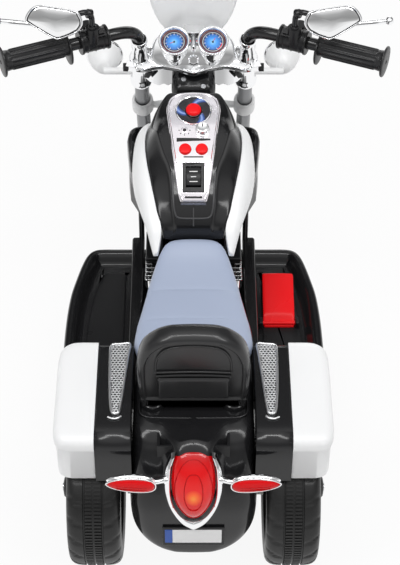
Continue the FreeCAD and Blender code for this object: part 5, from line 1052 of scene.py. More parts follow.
def tail_lens():
    rings = []
    for z in LENS_STATIONS:
        half, front, back = lens_at(z)
        ring = []
        for c, s in circle(36):
            bulge = (front - back) * s if s > 0 else -3.0 * s
            ring.append(Vector((half * c, back + bulge, z)))
        rings.append(ring)
    piece("tail_lens", loft(rings), "red_lens", "chassis", ("tail_light_lens",), mat=LENS_RED, levels=1)


def tail_bezel():
    lines = []
    for points in (BEZEL_OUT, BEZEL_IN):
        half = outline(points)
        lines.append([Vector((-p.x, p.y, 0)) for p in half] + half[:-1][::-1])
    rings = []
    for a, b in zip(*lines):
        root = BEZEL_ROOT
        if a.y > BEZEL_LEAN:
            root = min(along(LENS_BACK, a.y), along(LENS_BACK, b.y)) - BEZEL_STEP
        ring = []
        for share, y in BEZEL_SECTION:
            p = a.lerp(b, share)
            ring.append(Vector((p.x, root + y, p.y)))
        rings.append(ring)
    piece("tail_bezel", loft(rings), "chrome_plate", "chassis", ("tail_light_bezel",), angle=50)


def tail_lamp():
    tail_lens()
    lines = bmesh.new()
    for share, low, high in LENS_EGGS:
        egg = []
        for c, s in circle(56):
            z = (low + high) / 2 + (high - low) / 2 * s
            egg.append(lens_front(along(LENS_HALF, z) * share * math.copysign(abs(c) ** 0.7, c), z))
        tube(lines, egg + [egg[0]], 0.55, 8)
    piece("tail_lines", lines, "red_lens", "chassis", mat=REFLECTOR)
    bulb = turned(TAIL_BULB, 24, base=(0, -402.5, 186), direction=(0, -1, 0))
    piece("tail_bulb", bulb, "clear_lens", "chassis", ("tail_light_bulb",), mat=GLOW)
    tail_bezel()


def signal_rings(tall, shrink, deep, back, drop=0.0):
    """Sections of a turn signal from its inner end to its tip."""
    rings = []
    for t, share in SIGNAL:
        x = SIGNAL_START + SIGNAL_LONG * (0.5 + (t - 0.5) * shrink)
        middle = SIGNAL_Z - drop + SIGNAL_RISE * (t - 0.5)
        reach = deep * (0.55 + 0.45 * share) * min(1, share * 1.3)
        y = SIGNAL_Y + back
        rings.append([Vector((x, y + reach * s, middle + tall * share * c)) for c, s in circle(24)])
    return rings


def signal_edge(side):
    """Upper or lower line of the rim round a turn signal's lens."""
    line = []
    for t, share in SIGNAL:
        z = RIM_Z + SIGNAL_RISE * (t - 0.5) + RIM_HALF * side * share
        line.append(Vector((SIGNAL_START + SIGNAL_LONG * t, RIM_Y, z)))
    return line


def turn_signals():
    shell = loft(signal_rings(12.6, 1.0, 6.8, 3.0))
    tube(shell, rounded(SIGNAL_ARM, 4, False), lambda t: 3.8 - 0.8 * t, 14)
    lathe(shell, ((0, 5.4), (3, 5.6), (4.5, 4.4)), 20, (32.4, -401, 222.4), (1, -0.4, 0.12))
    edge = rounded(signal_edge(1) + signal_edge(-1)[::-1], 2)
    tube(shell, edge + [edge[0]], 0.9, 8)
    lens = loft(signal_rings(11.0, 0.955, 4.8, -1.4, 1.6))
    lines = bmesh.new()
    for lift in (-3.4, 1.0):
        tube(lines, rounded([(x, y, z + lift) for x, y, z in SIGNAL_LINE], 5, False), 0.6, 8)
    pairs("signal_shells", shell, "chrome_plate", "chassis", ("turn_signals",), angle=60)
    pairs("signal_lenses", lens, "red_lens", "chassis", ("turn_signal_lenses",), angle=60)
    pairs("signal_lines", lines, "red_lens", "chassis", mat=REFLECTOR)


def plate():
    holder = boxes(((77, 3, 36), (0, -405.8, 117.2)))
    piece("plate_holder", holder, "black_satin", "chassis", ("number_plate",), bevel=1.2, segments=3)
    blank = boxes(((61, 1.2, 26), (4.4, -407.2, 118.4)))
    piece("plate_blank", blank, "plate_white", "chassis", bevel=0.5)
    band = boxes(((9.4, 1.2, 26), (-30.8, -407.2, 118.4)))
    piece("plate_band", band, "plate_white", "chassis", bevel=0.5, mat=PLATE_BLUE)


# Wheels

BAND_SHARE = 0.30
# Shares of a wheel's half width, with drops from the tread and then with radii
TYRE_SIDE = ((0.52, 0.6), (0.66, 1.2), (0.80, 2.8), (0.90, 5.4), (0.965, 9.4), (0.99, 14), (1.0, 19),
             (0.985, 24), (0.93, 27.5), (0.80, 29), (0.74, 31), (0.52, 34), (0.40, 48))
HUB_SIDE = ((0.42, 30), (0.62, 24), (0.80, 20), (0.82, 15), (0.82, 5.2))
WHEEL_STEPS, WHEEL_RIBS, WHEEL_BORE = 264, 132, 5.2
FRONT_AXLE = (0, 315, 105)


def tread(width, radius):
    """Half profile of a moulded tyre from its middle to the hub, as pairs of width and radius."""
    half = width / 2
    band = half * BAND_SHARE
    groove = [(0.0, radius - 1.8), (band, radius - 1.4), (band + 0.5, radius - 2.4),
              (band + 2.2, radius - 2.4), (band + 2.7, radius - 0.3)]
    side = [(half * share, radius - drop) for share, drop in TYRE_SIDE]
    return groove + side + [(half * share, r) for share, r in HUB_SIDE]


def wheel(name, radius, width, centre, hub=None):
    """Tyre with ribs and plated trim. One without hubs that reach the fork has an outer cap."""
    half = width / 2
    band = half * BAND_SHARE
    middle = Vector(centre)
    right = tread(width, radius)
    profile = right[::-1] + [(-w, r) for w, r in right[1:]]
    rings, bore = [], []
    for i in range(WHEEL_STEPS):
        a = 2 * math.pi * i / WHEEL_STEPS
        c, s = math.cos(a), math.sin(a)
        swell = 1 + 0.45 * (0.5 + 0.5 * math.cos(6 * a)) ** 2
        ring = []
        for w, r in profile:
            shoulder = r > radius - 12 and abs(w) > width * 0.24
            notch = 1.6 if shoulder and (i + int(abs(w) * 0.3)) % 12 in (0, 1) else 0.0
            x = w * swell if 30 <= r < radius - 33 else w
            ring.append(Vector((x, (r - notch) * c, (r - notch) * s)) + middle)
        rings.append(ring)
        ends = (profile[0][0], profile[-1][0])
        bore.append([Vector((w, WHEEL_BORE * c, WHEEL_BORE * s)) + middle for w in ends])
    bm = bmesh.new()
    for strip in (rings, bore):
        skin(bm, strip + [strip[0]], closed=False, caps=(False, False))
    for i in range(WHEEL_RIBS):
        a = 2 * math.pi * i / WHEEL_RIBS
        y, z = (radius - 1.2) * math.cos(a), (radius - 1.2) * math.sin(a)
        for sign, _ in SIDES:
            spot = Vector((sign * (band + 1.2) / 2, y, z)) + middle
            block(bm, (band - 1.6, 2.6, 2.4), spot, Matrix.Rotation(a - math.pi / 2, 3, "X"))
    if hub:
        low = half * 0.80
        sleeve = ((low, 15), (hub - 1, 15), (hub, 13.5), (hub, 5.4), (low, 5.4), (low, 15))
        for sign, _ in SIDES:
            lathe(bm, sleeve, 40, centre, (sign, 0, 0))
    piece(name + "_tyre", bm, "wheel_black", name, (name,), angle=34)
    trim = bmesh.new()
    low = half * (0.6 if hub else 0.44)
    dish = ((low, 27.5), (low + 5, 27), (low + 8, 24.5), (low + 9, 21), (low + 8.2, 19.6), (low + 1, 19.2),
            (low, 27.5))
    for sign, _ in SIDES:
        lathe(trim, dish, 48, centre, (sign, 0, 0))
    piece(name + "_trim", trim, "chrome_plate", name)
    if not hub:
        dome = ((half - 7, 16), (half + 5, 14.6), (half + 8, 12), (half + 9, 7), (half + 9, 0.3))
        outward = (math.copysign(1, centre[0]), 0, 0)
        piece(name + "_cap", turned(dome, 36, base=centre, direction=outward), "wheel_black", name)


def wheels():
    for sign, word in SIDES:
        wheel("rear_wheel_" + word, 100, 68, (124 * sign, -315, 100))
    wheel("front_wheel", 105, 54, FRONT_AXLE, 62)


# Footboards, pedal and engine

# Footboard and mat seen from above, then the step inwards and height of each ring
BOARD_EDGE = ((44.4, 97), (75, 97), (110, 97), (132, 96.8), (144, 94), (153, 85), (160, 66), (167.5, 34),
              (173.6, 1), (177, -45), (178, -100), (177.6, -150), (172, -178), (160, -191), (146, -194),
              (90, -194), (44.4, -194))
BOARD_IN = 44.4
BOARD_STEPS = ((3.5, 110), (0.8, 111), (0, 113), (0, 127), (0.7, 130.4), (2.4, 132.8), (5, 134),
               (8.5, 133.8), (12, 132), (15.5, 128.4), (18.5, 124.2), (21, 121.4), (24, 120.2), (28, 120))
MAT_EDGE = ((97, 58), (118, 59), (128, 55), (134, 40), (141, 10), (147, -40), (149, -100), (148, -144),
            (142, -160), (130, -165), (110, -166), (98, -164), (96, -120), (96, 40))
MAT_STEPS = ((0, 119.9), (0.2, 120.6), (0.8, 121.0), (3, 121.1))
BOARD_HOOK = ((132, 52, 120), (132, 53, 125), (131.4, 49, 127.4), (131, 44, 125))
# Place across and step inwards of each slice of the pedal
PEDAL_SLICES = ((97.2, 4), (97.5, 1.8), (98.6, 0.3), (101, 0), (110, 0), (119, 0), (128, 0), (137, 0),
                (139.4, 0.3), (140.5, 1.8), (140.8, 4))
PEDAL_SLOPE = 18 / 78
PEDAL_X, PEDAL_HALF, PEDAL_CROWN = 119, 22, 0.9
PIVOT_Y, PIVOT_Z = -47, 126
ENGINE_Y = 8.4
# Turned profiles: distance across and radius
CRANK_COVER = ((46, 33), (60, 33), (62.6, 31.8), (64, 29), (63.4, 25.6), (64.6, 22), (66.8, 19), (67.6, 15),
               (67.8, 6), (67.8, 0.3))
ENGINE_BOLT = ((44.6, 4.2), (62, 4.2), (63.4, 3.4), (63.6, 0.2))


def footboard(sign, word):
    name = "footboard_" + word
    edge = outline(BOARD_EDGE)
    rings = []
    for inward, z in BOARD_STEPS:
        ring = []
        for p, q in zip(inset(edge, inward), edge):
            ring.append(Vector((BOARD_IN if q.x < BOARD_IN + 0.1 else max(p.x, BOARD_IN), p.y, z)))
        rings.append(ring)
    piece(name + "_tray", handed(loft(rings), sign), "black_gloss", "chassis", (name,), angle=45)
    layers = stepped(outline(MAT_EDGE, 5, True), MAT_STEPS)
    floor = loft([[Vector((p.x * sign, p.y, p.z)) for p in ring] for ring in layers])
    piece(name + "_mat", floor, "black_satin", "chassis", angle=40)
    kerb = boxes(((18, 288, 40), (79 * sign, -48.5, 138)), ((8, 10, 105), (74 * sign, 91.9, 173)))
    piece(name + "_kerb", kerb, "black_gloss", "chassis", bevel=4.0, segments=4)
    hook = bmesh.new()
    tube(hook, rounded(BOARD_HOOK, 4, False), 1.7, 10)
    piece(name + "_hook", handed(hook, sign), "black_gloss", "chassis")
    if sign > 0:
        lugs = boxes(*(((6, 12, 12), (x, PIVOT_Y, PIVOT_Z)) for x in (93.7, 144.3)))
        piece("pedal_lugs", lugs, "black_satin", "chassis", bevel=1.8, segments=3)


def pedal():
    rings = []
    for x, inward in PEDAL_SLICES:
        crown = PEDAL_CROWN * (1 - ((x - PEDAL_X) / PEDAL_HALF) ** 2)
        thick = 4.6 - inward * 0.35
        heel, toe = -51 + inward, 31 - inward
        section = ((heel, -1), (toe, -1), (toe + 0.2, -0.4), (toe, 0.5), (toe - 2.4, 1), (toe - 14, 1),
                   (10, 1), (-16, 1), (-33, 1), (-37, 0.98), (-39.5, 0.72), (heel + 2.5, 0.1),
                   (heel, -0.4))
        ring = []
        for y, side in section:
            z = PIVOT_Z + PEDAL_SLOPE * (y - PIVOT_Y)
            ring.append(Vector((x, y, z + side * thick + (crown if side > 0.9 else 0))))
        rings.append(ring)
    bm = loft(rings)
    tube(bm, [Vector((x, PIVOT_Y, PIVOT_Z)) for x in (91, 147)], 3, 16)
    piece("pedal_pad", bm, "red_plastic", "accelerator_pedal", ("accelerator_pedal",), angle=35, bevel=0.6)


def engine():
    """Crank cover and cooling fins on each side of the frame."""
    core = boxes(((16, 76, 20), (52.4, ENGINE_Y, 134)), ((14, 52, 84), (51.4, ENGINE_Y, 181)),
                 ((21, 58, 8), (54.8, ENGINE_Y, 220.4)))
    pairs("engine_blocks", core, "black_satin", "chassis", ("engine_covers",), bevel=2.5, segments=3)
    bright = turned(CRANK_COVER, 56, base=(0, ENGINE_Y, 156), direction=(1, 0, 0))
    for k in range(5):
        block(bright, (22 - 0.4 * k, 60 - 2 * k, 2.8), (56 - 0.2 * k, ENGINE_Y, 184 + 6.6 * k))
    for y in (-22, 38.8):
        lathe(bright, ENGINE_BOLT, 24, (0, y, 132), (1, 0, 0))
    pairs("engine_fins", bright, "chrome_plate", "chassis", bevel=0.8, angle=50)


# Handlebar: tubes, grips, mounts and mirrors

BAR_ROOT = steered(FORK_X, FORK_V, 419)
BAR_WAY = (STEER_TURN @ Vector((165, -61, 25))).normalized()
BAR_RADIUS = 8.4
RIBS_START, RIBS_END = 104, 178
# Turned profiles: distance along the arm and radius
GRIP_PROFILE = ((97, 8.6), (97, 12.4), (97.6, 13.2), (103.5, 13.2), (104.5, 13.2), (107, 13.2),
                (115, 13.2), (135, 13.2), (155, 13.2), (175, 13.2), (177.5, 13.2), (178.6, 13.4),
                (181, 13.6), (184.6, 14.2), (185.8, 15.4), (186.2, 19.6), (187, 20.5), (188.4, 20.5),
                (189, 19.8), (189.4, 14), (189.6, 3.2), (188.2, 2.4), (188, 0.2))
FLANGE_DROP = 6
GRIP_FLANGE = ((97, 19.4), (97.5, 20.4), (99.4, 20.4), (100, 19.4))
# Place along the arm, radius and width of each collar
MOUNT_COLLARS = ((45, 16.4, 3.4), (52, 15.8, 1.6), (63, 16.0, 1.4), (74, 15.8, 1.6), (81, 16.6, 3.4))
MOUNT_SCREW = ((0, 3.6), (3, 3.6), (3.4, 3.0), (3.4, 0.2))
# Mirror seen square to its glass, then the share of its outline and the depth of each ring
MIRROR_EDGE = ((36.5, 5), (30, 16), (20, 21.6), (4, 20.6), (-28, 15), (-35, 8.5), (-38, 0), (-35.4, -7.5),
               (-28, -14.4), (-9, -21.6), (0, -20.6), (16, -11.5), (33, -0.5))
MIRROR_MIDDLE = Vector((179.503, 92.213, 535.076))
MIRROR_TURN = Matrix.Rotation(math.radians(65), 3, "X")
MIRROR_SHELL = ((0.30, -14.5), (0.55, -13.6), (0.78, -11), (0.93, -7), (1.0, -2.5), (1.0, -0.6),
                (0.985, 0.4), (0.955, 0.8), (0.925, 0.4), (0.905, -1.2), (0.88, -1.4))
MIRROR_PANE = ((0.90, -2.2), (0.90, -0.8), (0.885, -0.4), (0.80, 0.2), (0.66, 0.9), (0.5, 1.5), (0.33, 1.9),
               (0.12, 2.1))
MIRROR_STALK = ((131.5, 114.2, 502.6), (131.5, 114.2, 518), (132.5, 114, 530), (139, 111.5, 537),
                (152, 106, 536.5), (166, 100.5, 533))


def on_arm(s, out=Vector()):
    """Place along the right arm of the bar, moved aside by a step."""
    return BAR_ROOT + BAR_WAY * s + out


def across_arm(way):
    """Step of one millimetre square to the right arm, as near as can be to a way."""
    way = Vector(way)
    return (way - BAR_WAY * BAR_WAY.dot(way)).normalized()


def handlebar():
    root, out = steered(FORK_X, FORK_V, 385), on_arm(34)
    path = [steered(FORK_X, FORK_V, 362), steered(FORK_X, FORK_V, 374)]
    for k in range(13):
        t = k / 12
        path.append(root * (1 - t) ** 2 + BAR_ROOT * 2 * t * (1 - t) + out * t ** 2)
    path += [on_arm(60), on_arm(98), on_arm(180)]
    bm = bmesh.new()
    tube(bm, path, BAR_RADIUS, 28)
    pairs("handlebar_tubes", bm, "black_gloss", "steering", ("handlebar",), angle=50)


def grips():
    def ribs(s, a):
        if s < RIBS_START or s > RIBS_END:
            return 0.0
        fade = min(1.0, (s - RIBS_START) / 3, (RIBS_END - s) / 3)
        return 1.1 * fade * max(-0.4, math.cos(14 * a)) - 0.3

    bm = turned(GRIP_PROFILE, 112, base=BAR_ROOT, direction=BAR_WAY, ripple=ribs)
    lathe(bm, GRIP_FLANGE, 56, BAR_ROOT + across_arm((0, 0, -1)) * FLANGE_DROP, BAR_WAY)
    pairs("grip_sleeves", bm, "grip_rubber", "steering", ("grips",), angle=45)


def mounts():
    """Collars, a screw and a switch on each lever mount, over its solid."""
    bm = bmesh.new()
    for s, r, wide in MOUNT_COLLARS:
        low, high = s - wide / 2, s + wide / 2
        collar = ((low, 8.7), (low, r - 0.6), (low + 0.6, r), (high - 0.6, r), (high, r - 0.6), (high, 8.7))
        lathe(bm, collar, 40, BAR_ROOT, BAR_WAY)
    up = across_arm((0, -0.55, 0.83))
    turn = Matrix((BAR_WAY, up.cross(BAR_WAY), up)).transposed()
    block(bm, (16, 11, 8), on_arm(57, up * 15), turn)
    block(bm, (7, 6, 5), on_arm(55, up * 20), turn)
    lathe(bm, MOUNT_SCREW, 20, on_arm(71, up * 15), up)
    pairs("mount_collars", bm, "black_satin", "steering", bevel=0.8)


def mirror(sign, word):
    loop = outline(MIRROR_EDGE, 5, True)

    def ring(share, z):
        return [MIRROR_TURN @ Vector((p.x * share, p.y * share, z)) + MIRROR_MIDDLE for p in loop]

    shell = loft([ring(share, z) for share, z in MIRROR_SHELL])
    pane = loft([ring(share, z) for share, z in MIRROR_PANE])
    gasket, stalk = bmesh.new(), bmesh.new()
    edge = ring(0.905, -0.3)
    tube(gasket, edge + [edge[0]], 0.6, 8)
    path = rounded(MIRROR_STALK, 5, False)
    tube(stalk, path, lambda t: 4.0 - 0.3 * t, 16)
    lathe(stalk, ((-4, 5.4), (-3, 6.2), (3, 6.2), (4, 5.4)), 20, path[12], (0.6, -0.2, 0.2))
    lathe(stalk, ((0, 5.6), (7, 5.6), (8, 4.6)), 20, (131.5, 114.2, 506))
    body = "mirror_" + word
    piece("mirror_shell_" + word, handed(shell, sign), "chrome_plate", body, (body,), angle=50)
    piece("mirror_pane_" + word, handed(pane, sign), "mirror_glass", body, ("mirror_glass_" + word,),
          angle=50)
    piece("mirror_gasket_" + word, handed(gasket, sign), "black_satin", body, mat=SHADE_AND_TRIM_BLACK)
    piece("mirror_stalk_" + word, handed(stalk, sign), "black_gloss", body, angle=50)


# Steering head, plated yoke with its gauges, and lower clamp

# Cover of the head: height along the fork, half width, back and front
NECK_SECTIONS = ((218.4, 24, -30, 15), (219.6, 27, -33, 17), (230, 29, -34.6, 18), (296, 30, -35, 18),
                 (312, 30.4, -34.6, 18), (320, 28.6, -32, 17), (324.4, 25, -28, 15), (325.8, 20, -23, 12))
# Right half of the yoke's plate, then the step inwards and height of each ring
YOKE_EDGE = ((0, -14), (6, -12.4), (22, -6.5), (42, -3.5), (56, -5), (64, -8), (76, -9), (84, -6), (88, 2),
             (88, 14), (84, 24), (72, 30), (50, 32), (0, 33.6))
YOKE_STEPS = ((2.0, 334), (0.3, 334.6), (0, 336), (0, 341), (1.2, 342.8), (2.2, 342.6), (3.0, 341.8),
              (4.2, 341.8), (7, 343.4))
# Block ahead of the gauges: height, half width, back and front
DASH_SECTIONS = ((340, 60, -5, 33), (344, 59, -1, 33), (348, 58, 6, 33), (353, 56.5, 13, 33),
                 (358, 55, 18.5, 33), (364, 52, 23, 32.6), (372, 47, 26, 31.6), (380, 40, 27.5, 30.6))
# Turned cover of a fork leg: height along the fork and radius
LEG_SLEEVE = ((276, 10.3), (276, 14.2), (277, 15.2), (282, 15.4), (285, 14.6), (287, 12.6), (291, 11.8),
              (322, 11.8), (328, 12.6), (332, 13.4), (346, 13.4), (349, 12.4), (352, 10.8), (380, 10.4),
              (384, 11.2), (389, 11.4), (391.4, 10.8), (392, 10.0), (391, 9.0), (366, 9.0), (364, 10.3),
              (276, 10.3))
# Web under the plate: place across, height and back
YOKE_WEB = ((29, 316, -14), (35, 313, -16), (41, 314.5, -14), (47, 311, -15), (54, 309, -12), (61, 306, -6),
            (66, 304, 0))
# Nut and pin on the stem: height and radius
STEM_NUT = ((-4, 8.2), (1.6, 8.0), (3.4, 5.4))
STEM_PIN = ((-10, 3.8), (10, 3.8), (12, 3.0), (12.8, 1.6), (13, 0.2))
DASH_TILT = math.radians(6)
GAUGE_X, GAUGE_V, GAUGE_W = 25.8, 7, 383
# Turned profiles of a gauge: height and radius
GAUGE_CUP = ((-40, 13), (-30, 14.2), (-24, 15.6), (-14, 17.8), (-4, 19.0), (6, 19.4), (11, 20.0),
             (14.4, 21.0), (16.0, 21.0), (16.8, 20.0), (16.6, 18.6), (15.4, 17.6), (11.6, 16.8),
             (10.2, 16.6), (10.2, 0.2))
GAUGE_FACE = ((-0.8, 16.4), (0.4, 16.4), (0.5, 12), (0.55, 6), (0.6, 0.3))
GAUGE_HUB = ((0.5, 1.4), (1.3, 1.3), (1.6, 0.8), (1.65, 0.1))
HAND_ANGLE = {"left": 200, "right": 60}
# Turned cup on a fork leg: height along the fork and radius
LEG_CUP = ((193.8, 10.3), (193.8, 13), (195, 14.6), (197, 15.4), (213, 15.4), (219, 15), (221, 14),
           (221.4, 12), (221, 10.3), (193.8, 10.3))
# Bridge between the cups: place across, lower side, upper side, back and front
CLAMP_BRIDGE = ((-64, 199, 206, 9, 16), (-44, 198, 207, 8, 18), (-26, 195, 211, -6, 30),
                (26, 195, 211, -6, 30), (44, 198, 207, 8, 18), (64, 199, 206, 9, 16))


def boxy_rings(sections, power, count):
    """Boxy rings in the leaning frame, each a height, a half width, a back and a front."""
    rings = []
    for w, half, back, front in sections:
        rings.append([steered(x, v, w) for x, v in boxy(half, back, front, power, count)])
    return rings


def neck():
    bm = loft(boxy_rings(NECK_SECTIONS, 0.4, 36))
    piece("neck_cover", bm, "black_gloss", "chassis", ("steering_neck",), angle=50)


def gauge_place(sign, lift=0.0):
    """Placement of a gauge in millimetres, tilted on the yoke."""
    turn = Matrix.Rotation(DASH_TILT, 4, "X")
    spot = Vector((GAUGE_X * sign, GAUGE_V, GAUGE_W)) + turn.to_3x3() @ Vector((0, 0, lift))
    return STEER @ Matrix.Translation(spot) @ turn


def stem_nut(bm):
    """Six-sided nut on the stem, leaning back."""
    rings = []
    for lift, r in STEM_NUT:
        ring = []
        for k in range(6):
            a = math.radians(60 * k + 30)
            v = 3 - lift * 0.6 + r * math.sin(a) * 0.8
            ring.append(steered(r * math.cos(a), v, 350 + lift * 0.8 + r * math.sin(a) * 0.6))
        rings.append(ring)
    skin(bm, rings)


def yoke():
    loop = both([Vector((x, y, 0)) for x, y in YOKE_EDGE])
    bm = loft([[steered(p.x, p.y, w) for p in inset(loop, inward)] for inward, w in YOKE_STEPS])
    skin(bm, boxy_rings(DASH_SECTIONS, 0.55, 44))
    for sign, _ in SIDES:
        place = gauge_place(sign)
        lathe(bm, GAUGE_CUP, 56, place.to_translation(), place.to_3x3() @ Vector((0, 0, 1)))
        lathe(bm, LEG_SLEEVE, 48, steered(FORK_X * sign, FORK_V, 0), AXIS)
        twist = STEER_TURN @ Matrix.Rotation(0.25 * sign, 3, "Z")
        block(bm, (15, 9, 12), steered(84 * sign, -2, 341), twist)
        rings = []
        for x, low, back in YOKE_WEB:
            section = ((back, low), (back + 3, low - 3), (back + 21, low + 12), (back + 18, low + 15))
            rings.append([steered(x * sign, v, w) for v, w in section])
        skin(bm, rings)
    stem_nut(bm)
    lathe(bm, STEM_PIN, 24, steered(0, 12, 366), STEER_TURN @ Vector((0, -0.3, 0.95)))
    piece("yoke_cover", bm, "chrome_plate", "steering", ("upper_yoke",), angle=34, bevel=0.8)

    dark = bmesh.new()
    for sign, _ in SIDES:
        twist = STEER_TURN @ Matrix.Rotation(-0.4 * sign, 3, "Y")
        block(dark, (7, 5, 15), steered(62 * sign, -2.6, 321), twist)
        block(dark, (6, 8, 8), steered(92 * sign, -3, 341), STEER_TURN)
        for k in range(3):
            block(dark, (7, 9, 1.3), steered(92.4 * sign, -3, 337.4 + 3.6 * k), STEER_TURN)
    block(dark, (2.2, 3, 9.0), steered(0, 7.2, 375), STEER_TURN @ Matrix.Rotation(0.3, 3, "X"))
    piece("yoke_recesses", dark, "black_satin", "steering", mat=SHADE_AND_TRIM_BLACK, bevel=0.6)


def lower_clamp():
    """Pale cups on the fork legs and the bridge between them."""
    bm = bmesh.new()
    for sign, _ in SIDES:
        lathe(bm, LEG_CUP, 44, steered(FORK_X * sign, FORK_V, 0), AXIS)
    rings = []
    for x, low, high, back, front in CLAMP_BRIDGE:
        section = ((back, low), (front, low), (front, high), (back, high))
        rings.append([steered(x, v, w) for v, w in section])
    skin(bm, rings)
    piece("lower_clamp", bm, "white_gloss", "steering", ("lower_yoke",), bevel=1.5, segments=3)


def gauges():
    for sign, word in SIDES:
        place = gauge_place(sign, 11.0)
        spot = Matrix.Translation(place.to_translation() * MM) @ place.to_3x3().to_4x4()
        face = turned(GAUGE_FACE, 64)
        piece("gauge_face_" + word, face, "dial_blue", "steering", ("gauge_dials",), place=spot)
        rim, marks, hand = (bmesh.new() for _ in range(3))
        hoop(rim, 15.8, 0.9, 1.1, 0.7)
        piece("gauge_ring_" + word, rim, "dial_blue", "steering", mat=DIAL_RING, place=spot)
        hoop(marks, 13.4, 0.7, 0.35, 0.7)
        for k in range(13):
            size = (0.45, 1.6, 0.35) if k % 2 else (0.6, 2.6, 0.35)
            spoke(marks, size, 11.0, math.radians(-60 + 25 * k), 0.62)
        piece("gauge_marks_" + word, marks, "plate_white", "steering", mat=DIAL_MARK, place=spot)
        spoke(hand, (0.45, 7.0, 0.4), 3.0, math.radians(HAND_ANGLE[word]), 0.9)
        if sign > 0:
            for k in range(3):
                spoke(hand, (1.0, 3.6, 0.3), 12.2, math.radians(-52 + 16 * k), 0.62, 0.0)
        piece("gauge_hand_" + word, hand, "red_plastic", "steering", place=spot)
        piece("gauge_hub_" + word, turned(GAUGE_HUB, 20), "black_satin", "steering", place=spot)


# Lamps, windshield and front mudguard

LAMP_Y, LAMP_Z = 245.1, 345.4
# Place across, height, size and depth of each lamp
LAMP_PLAN = ((128, LAMP_Z, 1.0, 30), (-128, LAMP_Z, 1.0, 30), (0, LAMP_Z + 20, 1.65, 44))
LAMP_BULB = ((2, 5), (9, 5.4), (14, 6.4), (18, 5.4), (20, 2.6), (20.4, 0.2))
# Half width of the windshield by height, and the heights of its rows
SHIELD_HALF = ((352, 32), (372, 39), (398, 47.6), (430, 54), (458, 57), (484, 54.4), (502, 47.5), (514, 37),
               (521, 23), (523.6, 8))
SHIELD_STATIONS = (352, 356, 364, 376, 390, 404, 418, 432, 446, 458, 470, 482, 492, 500, 507, 513, 518,
                   521, 523, 523.8)
SHIELD_BEND, SHIELD_V = 140, 45.9
# Outside and inside of the mudguard's section: place across and radius
GUARD_OUT = ((-33, 97), (-33, 106), (-31, 112), (-25, 115), (-12, 116), (0, 116.2), (12, 116), (25, 115),
             (31, 112), (33, 106), (33, 97))
GUARD_IN = ((30.4, 97), (30.4, 106), (28.6, 110), (23, 112.4), (0, 113.4), (-23, 112.4), (-28.6, 110),
            (-30.4, 106), (-30.4, 97))
GUARD_STEPS, GUARD_START, GUARD_SWEEP = 40, 16, 132
GUARD_CROWN, GUARD_SIDE = 113.2, 110


def lamps():
    bowls, rims, glass, bulbs = (bmesh.new() for _ in range(4))
    for x, z, size, deep in LAMP_PLAN:
        bowl = ((0, 0.3), (0, 8 * size), (1, 10 * size), (deep * 0.2, 14.5 * size),
                (deep * 0.47, 19.4 * size), (deep * 0.8, 23 * size), (deep, 24.6 * size),
                (deep + 2, 24.6 * size), (deep + 2, 23.4 * size), (deep * 0.8, 21.6 * size),
                (deep * 0.4, 15 * size), (4, 6 * size), (3.4, 0.3))
        rim = ((deep, 23.8 * size), (deep + 0.4, 26 * size), (deep + 1.6, 27 * size),
               (deep + 3.6, 27 * size), (deep + 5, 26.2 * size), (deep + 5.4, 24.8 * size),
               (deep + 4.6, 23.6 * size), (deep + 2, 23.2 * size), (deep, 23.8 * size))
        pane = [(deep + 2, 0.3), (deep + 2, 23.3 * size), (deep + 3.2, 23.3 * size)]
        for k in range(12, -1, -1):
            ripple = 0.35 if k % 2 else 0
            pane.append((deep + 5.5 - 2.2 * (k / 12) ** 2 + ripple, 23.0 * size * k / 12 + 0.2))
        turns = ((bowls, bowl, 64), (rims, rim, 64), (bulbs, LAMP_BULB, 24), (glass, pane, 64))
        for bm, profile, count in turns:
            lathe(bm, profile, count, (x, LAMP_Y, z), (0, 1, 0))
    piece("lamp_bowls", bowls, "white_gloss", "steering", ("lamp_housings",), angle=40)
    piece("lamp_rims", rims, "chrome_plate", "steering", angle=60)
    piece("lamp_glass", glass, "clear_lens", "steering", ("lamp_lenses",), angle=50)
    piece("lamp_bulbs", bulbs, "clear_lens", "steering", mat=GLOW)


def windshield():
    rings = []
    for w in SHIELD_STATIONS:
        half = along(SHIELD_HALF, w)
        row = []
        for k in range(25):
            x = half * (k / 12 - 1)
            sag = SHIELD_BEND - math.sqrt(SHIELD_BEND * SHIELD_BEND - x * x)
            row.append(steered(x, SHIELD_V - sag, w))
        rings.append(row)
    sheet = loft(rings, closed=False, caps=(False, False))
    piece("windshield_sheet", sheet, "frosted_shield", "steering", ("windshield",), thick=2.6)
    foot = bmesh.new()
    block(foot, (27, 14, 21), steered(0, 38.6, 363), STEER_TURN)
    piece("windshield_foot", foot, "white_gloss", "steering", bevel=2.5, segments=3)


def front_mudguard():
    """Guard round the top of the front wheel, its sides shallower at both ends, and its crossbar."""
    rings = []
    for k in range(GUARD_STEPS + 1):
        a = RAKE + math.radians(GUARD_START + GUARD_SWEEP * k / GUARD_STEPS)
        end = 0.35 if k in (0, GUARD_STEPS) else min(1.0, k / 3, (GUARD_STEPS - k) / 3)
        ring = []
        for x, r in GUARD_OUT + GUARD_IN:
            if r < GUARD_SIDE:
                r = GUARD_CROWN + (r - GUARD_CROWN) * (0.4 + 0.6 * end)
            ring.append(Vector(FRONT_AXLE) + Vector((x, r * math.cos(a), r * math.sin(a))))
        rings.append(ring)
    bm = loft(rings)
    tube(bm, [steered(x, FORK_V, 119.6) for x in (-62.6, 62.6)], 5, 20)
    piece("front_guard", bm, "white_gloss", "steering", ("front_fender",), angle=45)


# Solids that keep their own shape, with softened edges

KEPT_EDGES = {"main_frame": 2.5, "switch_bezel": 0.8, "lever_mounts": 1.4, "light_bar": 0.8,
              "gearbox_housing": 1.5, "battery": 2.0, "sound_module": 2.0, "motor": 1.0, "front_axle": 0.8,
              "fasteners": 0.6, "rear_axle": 0.8}


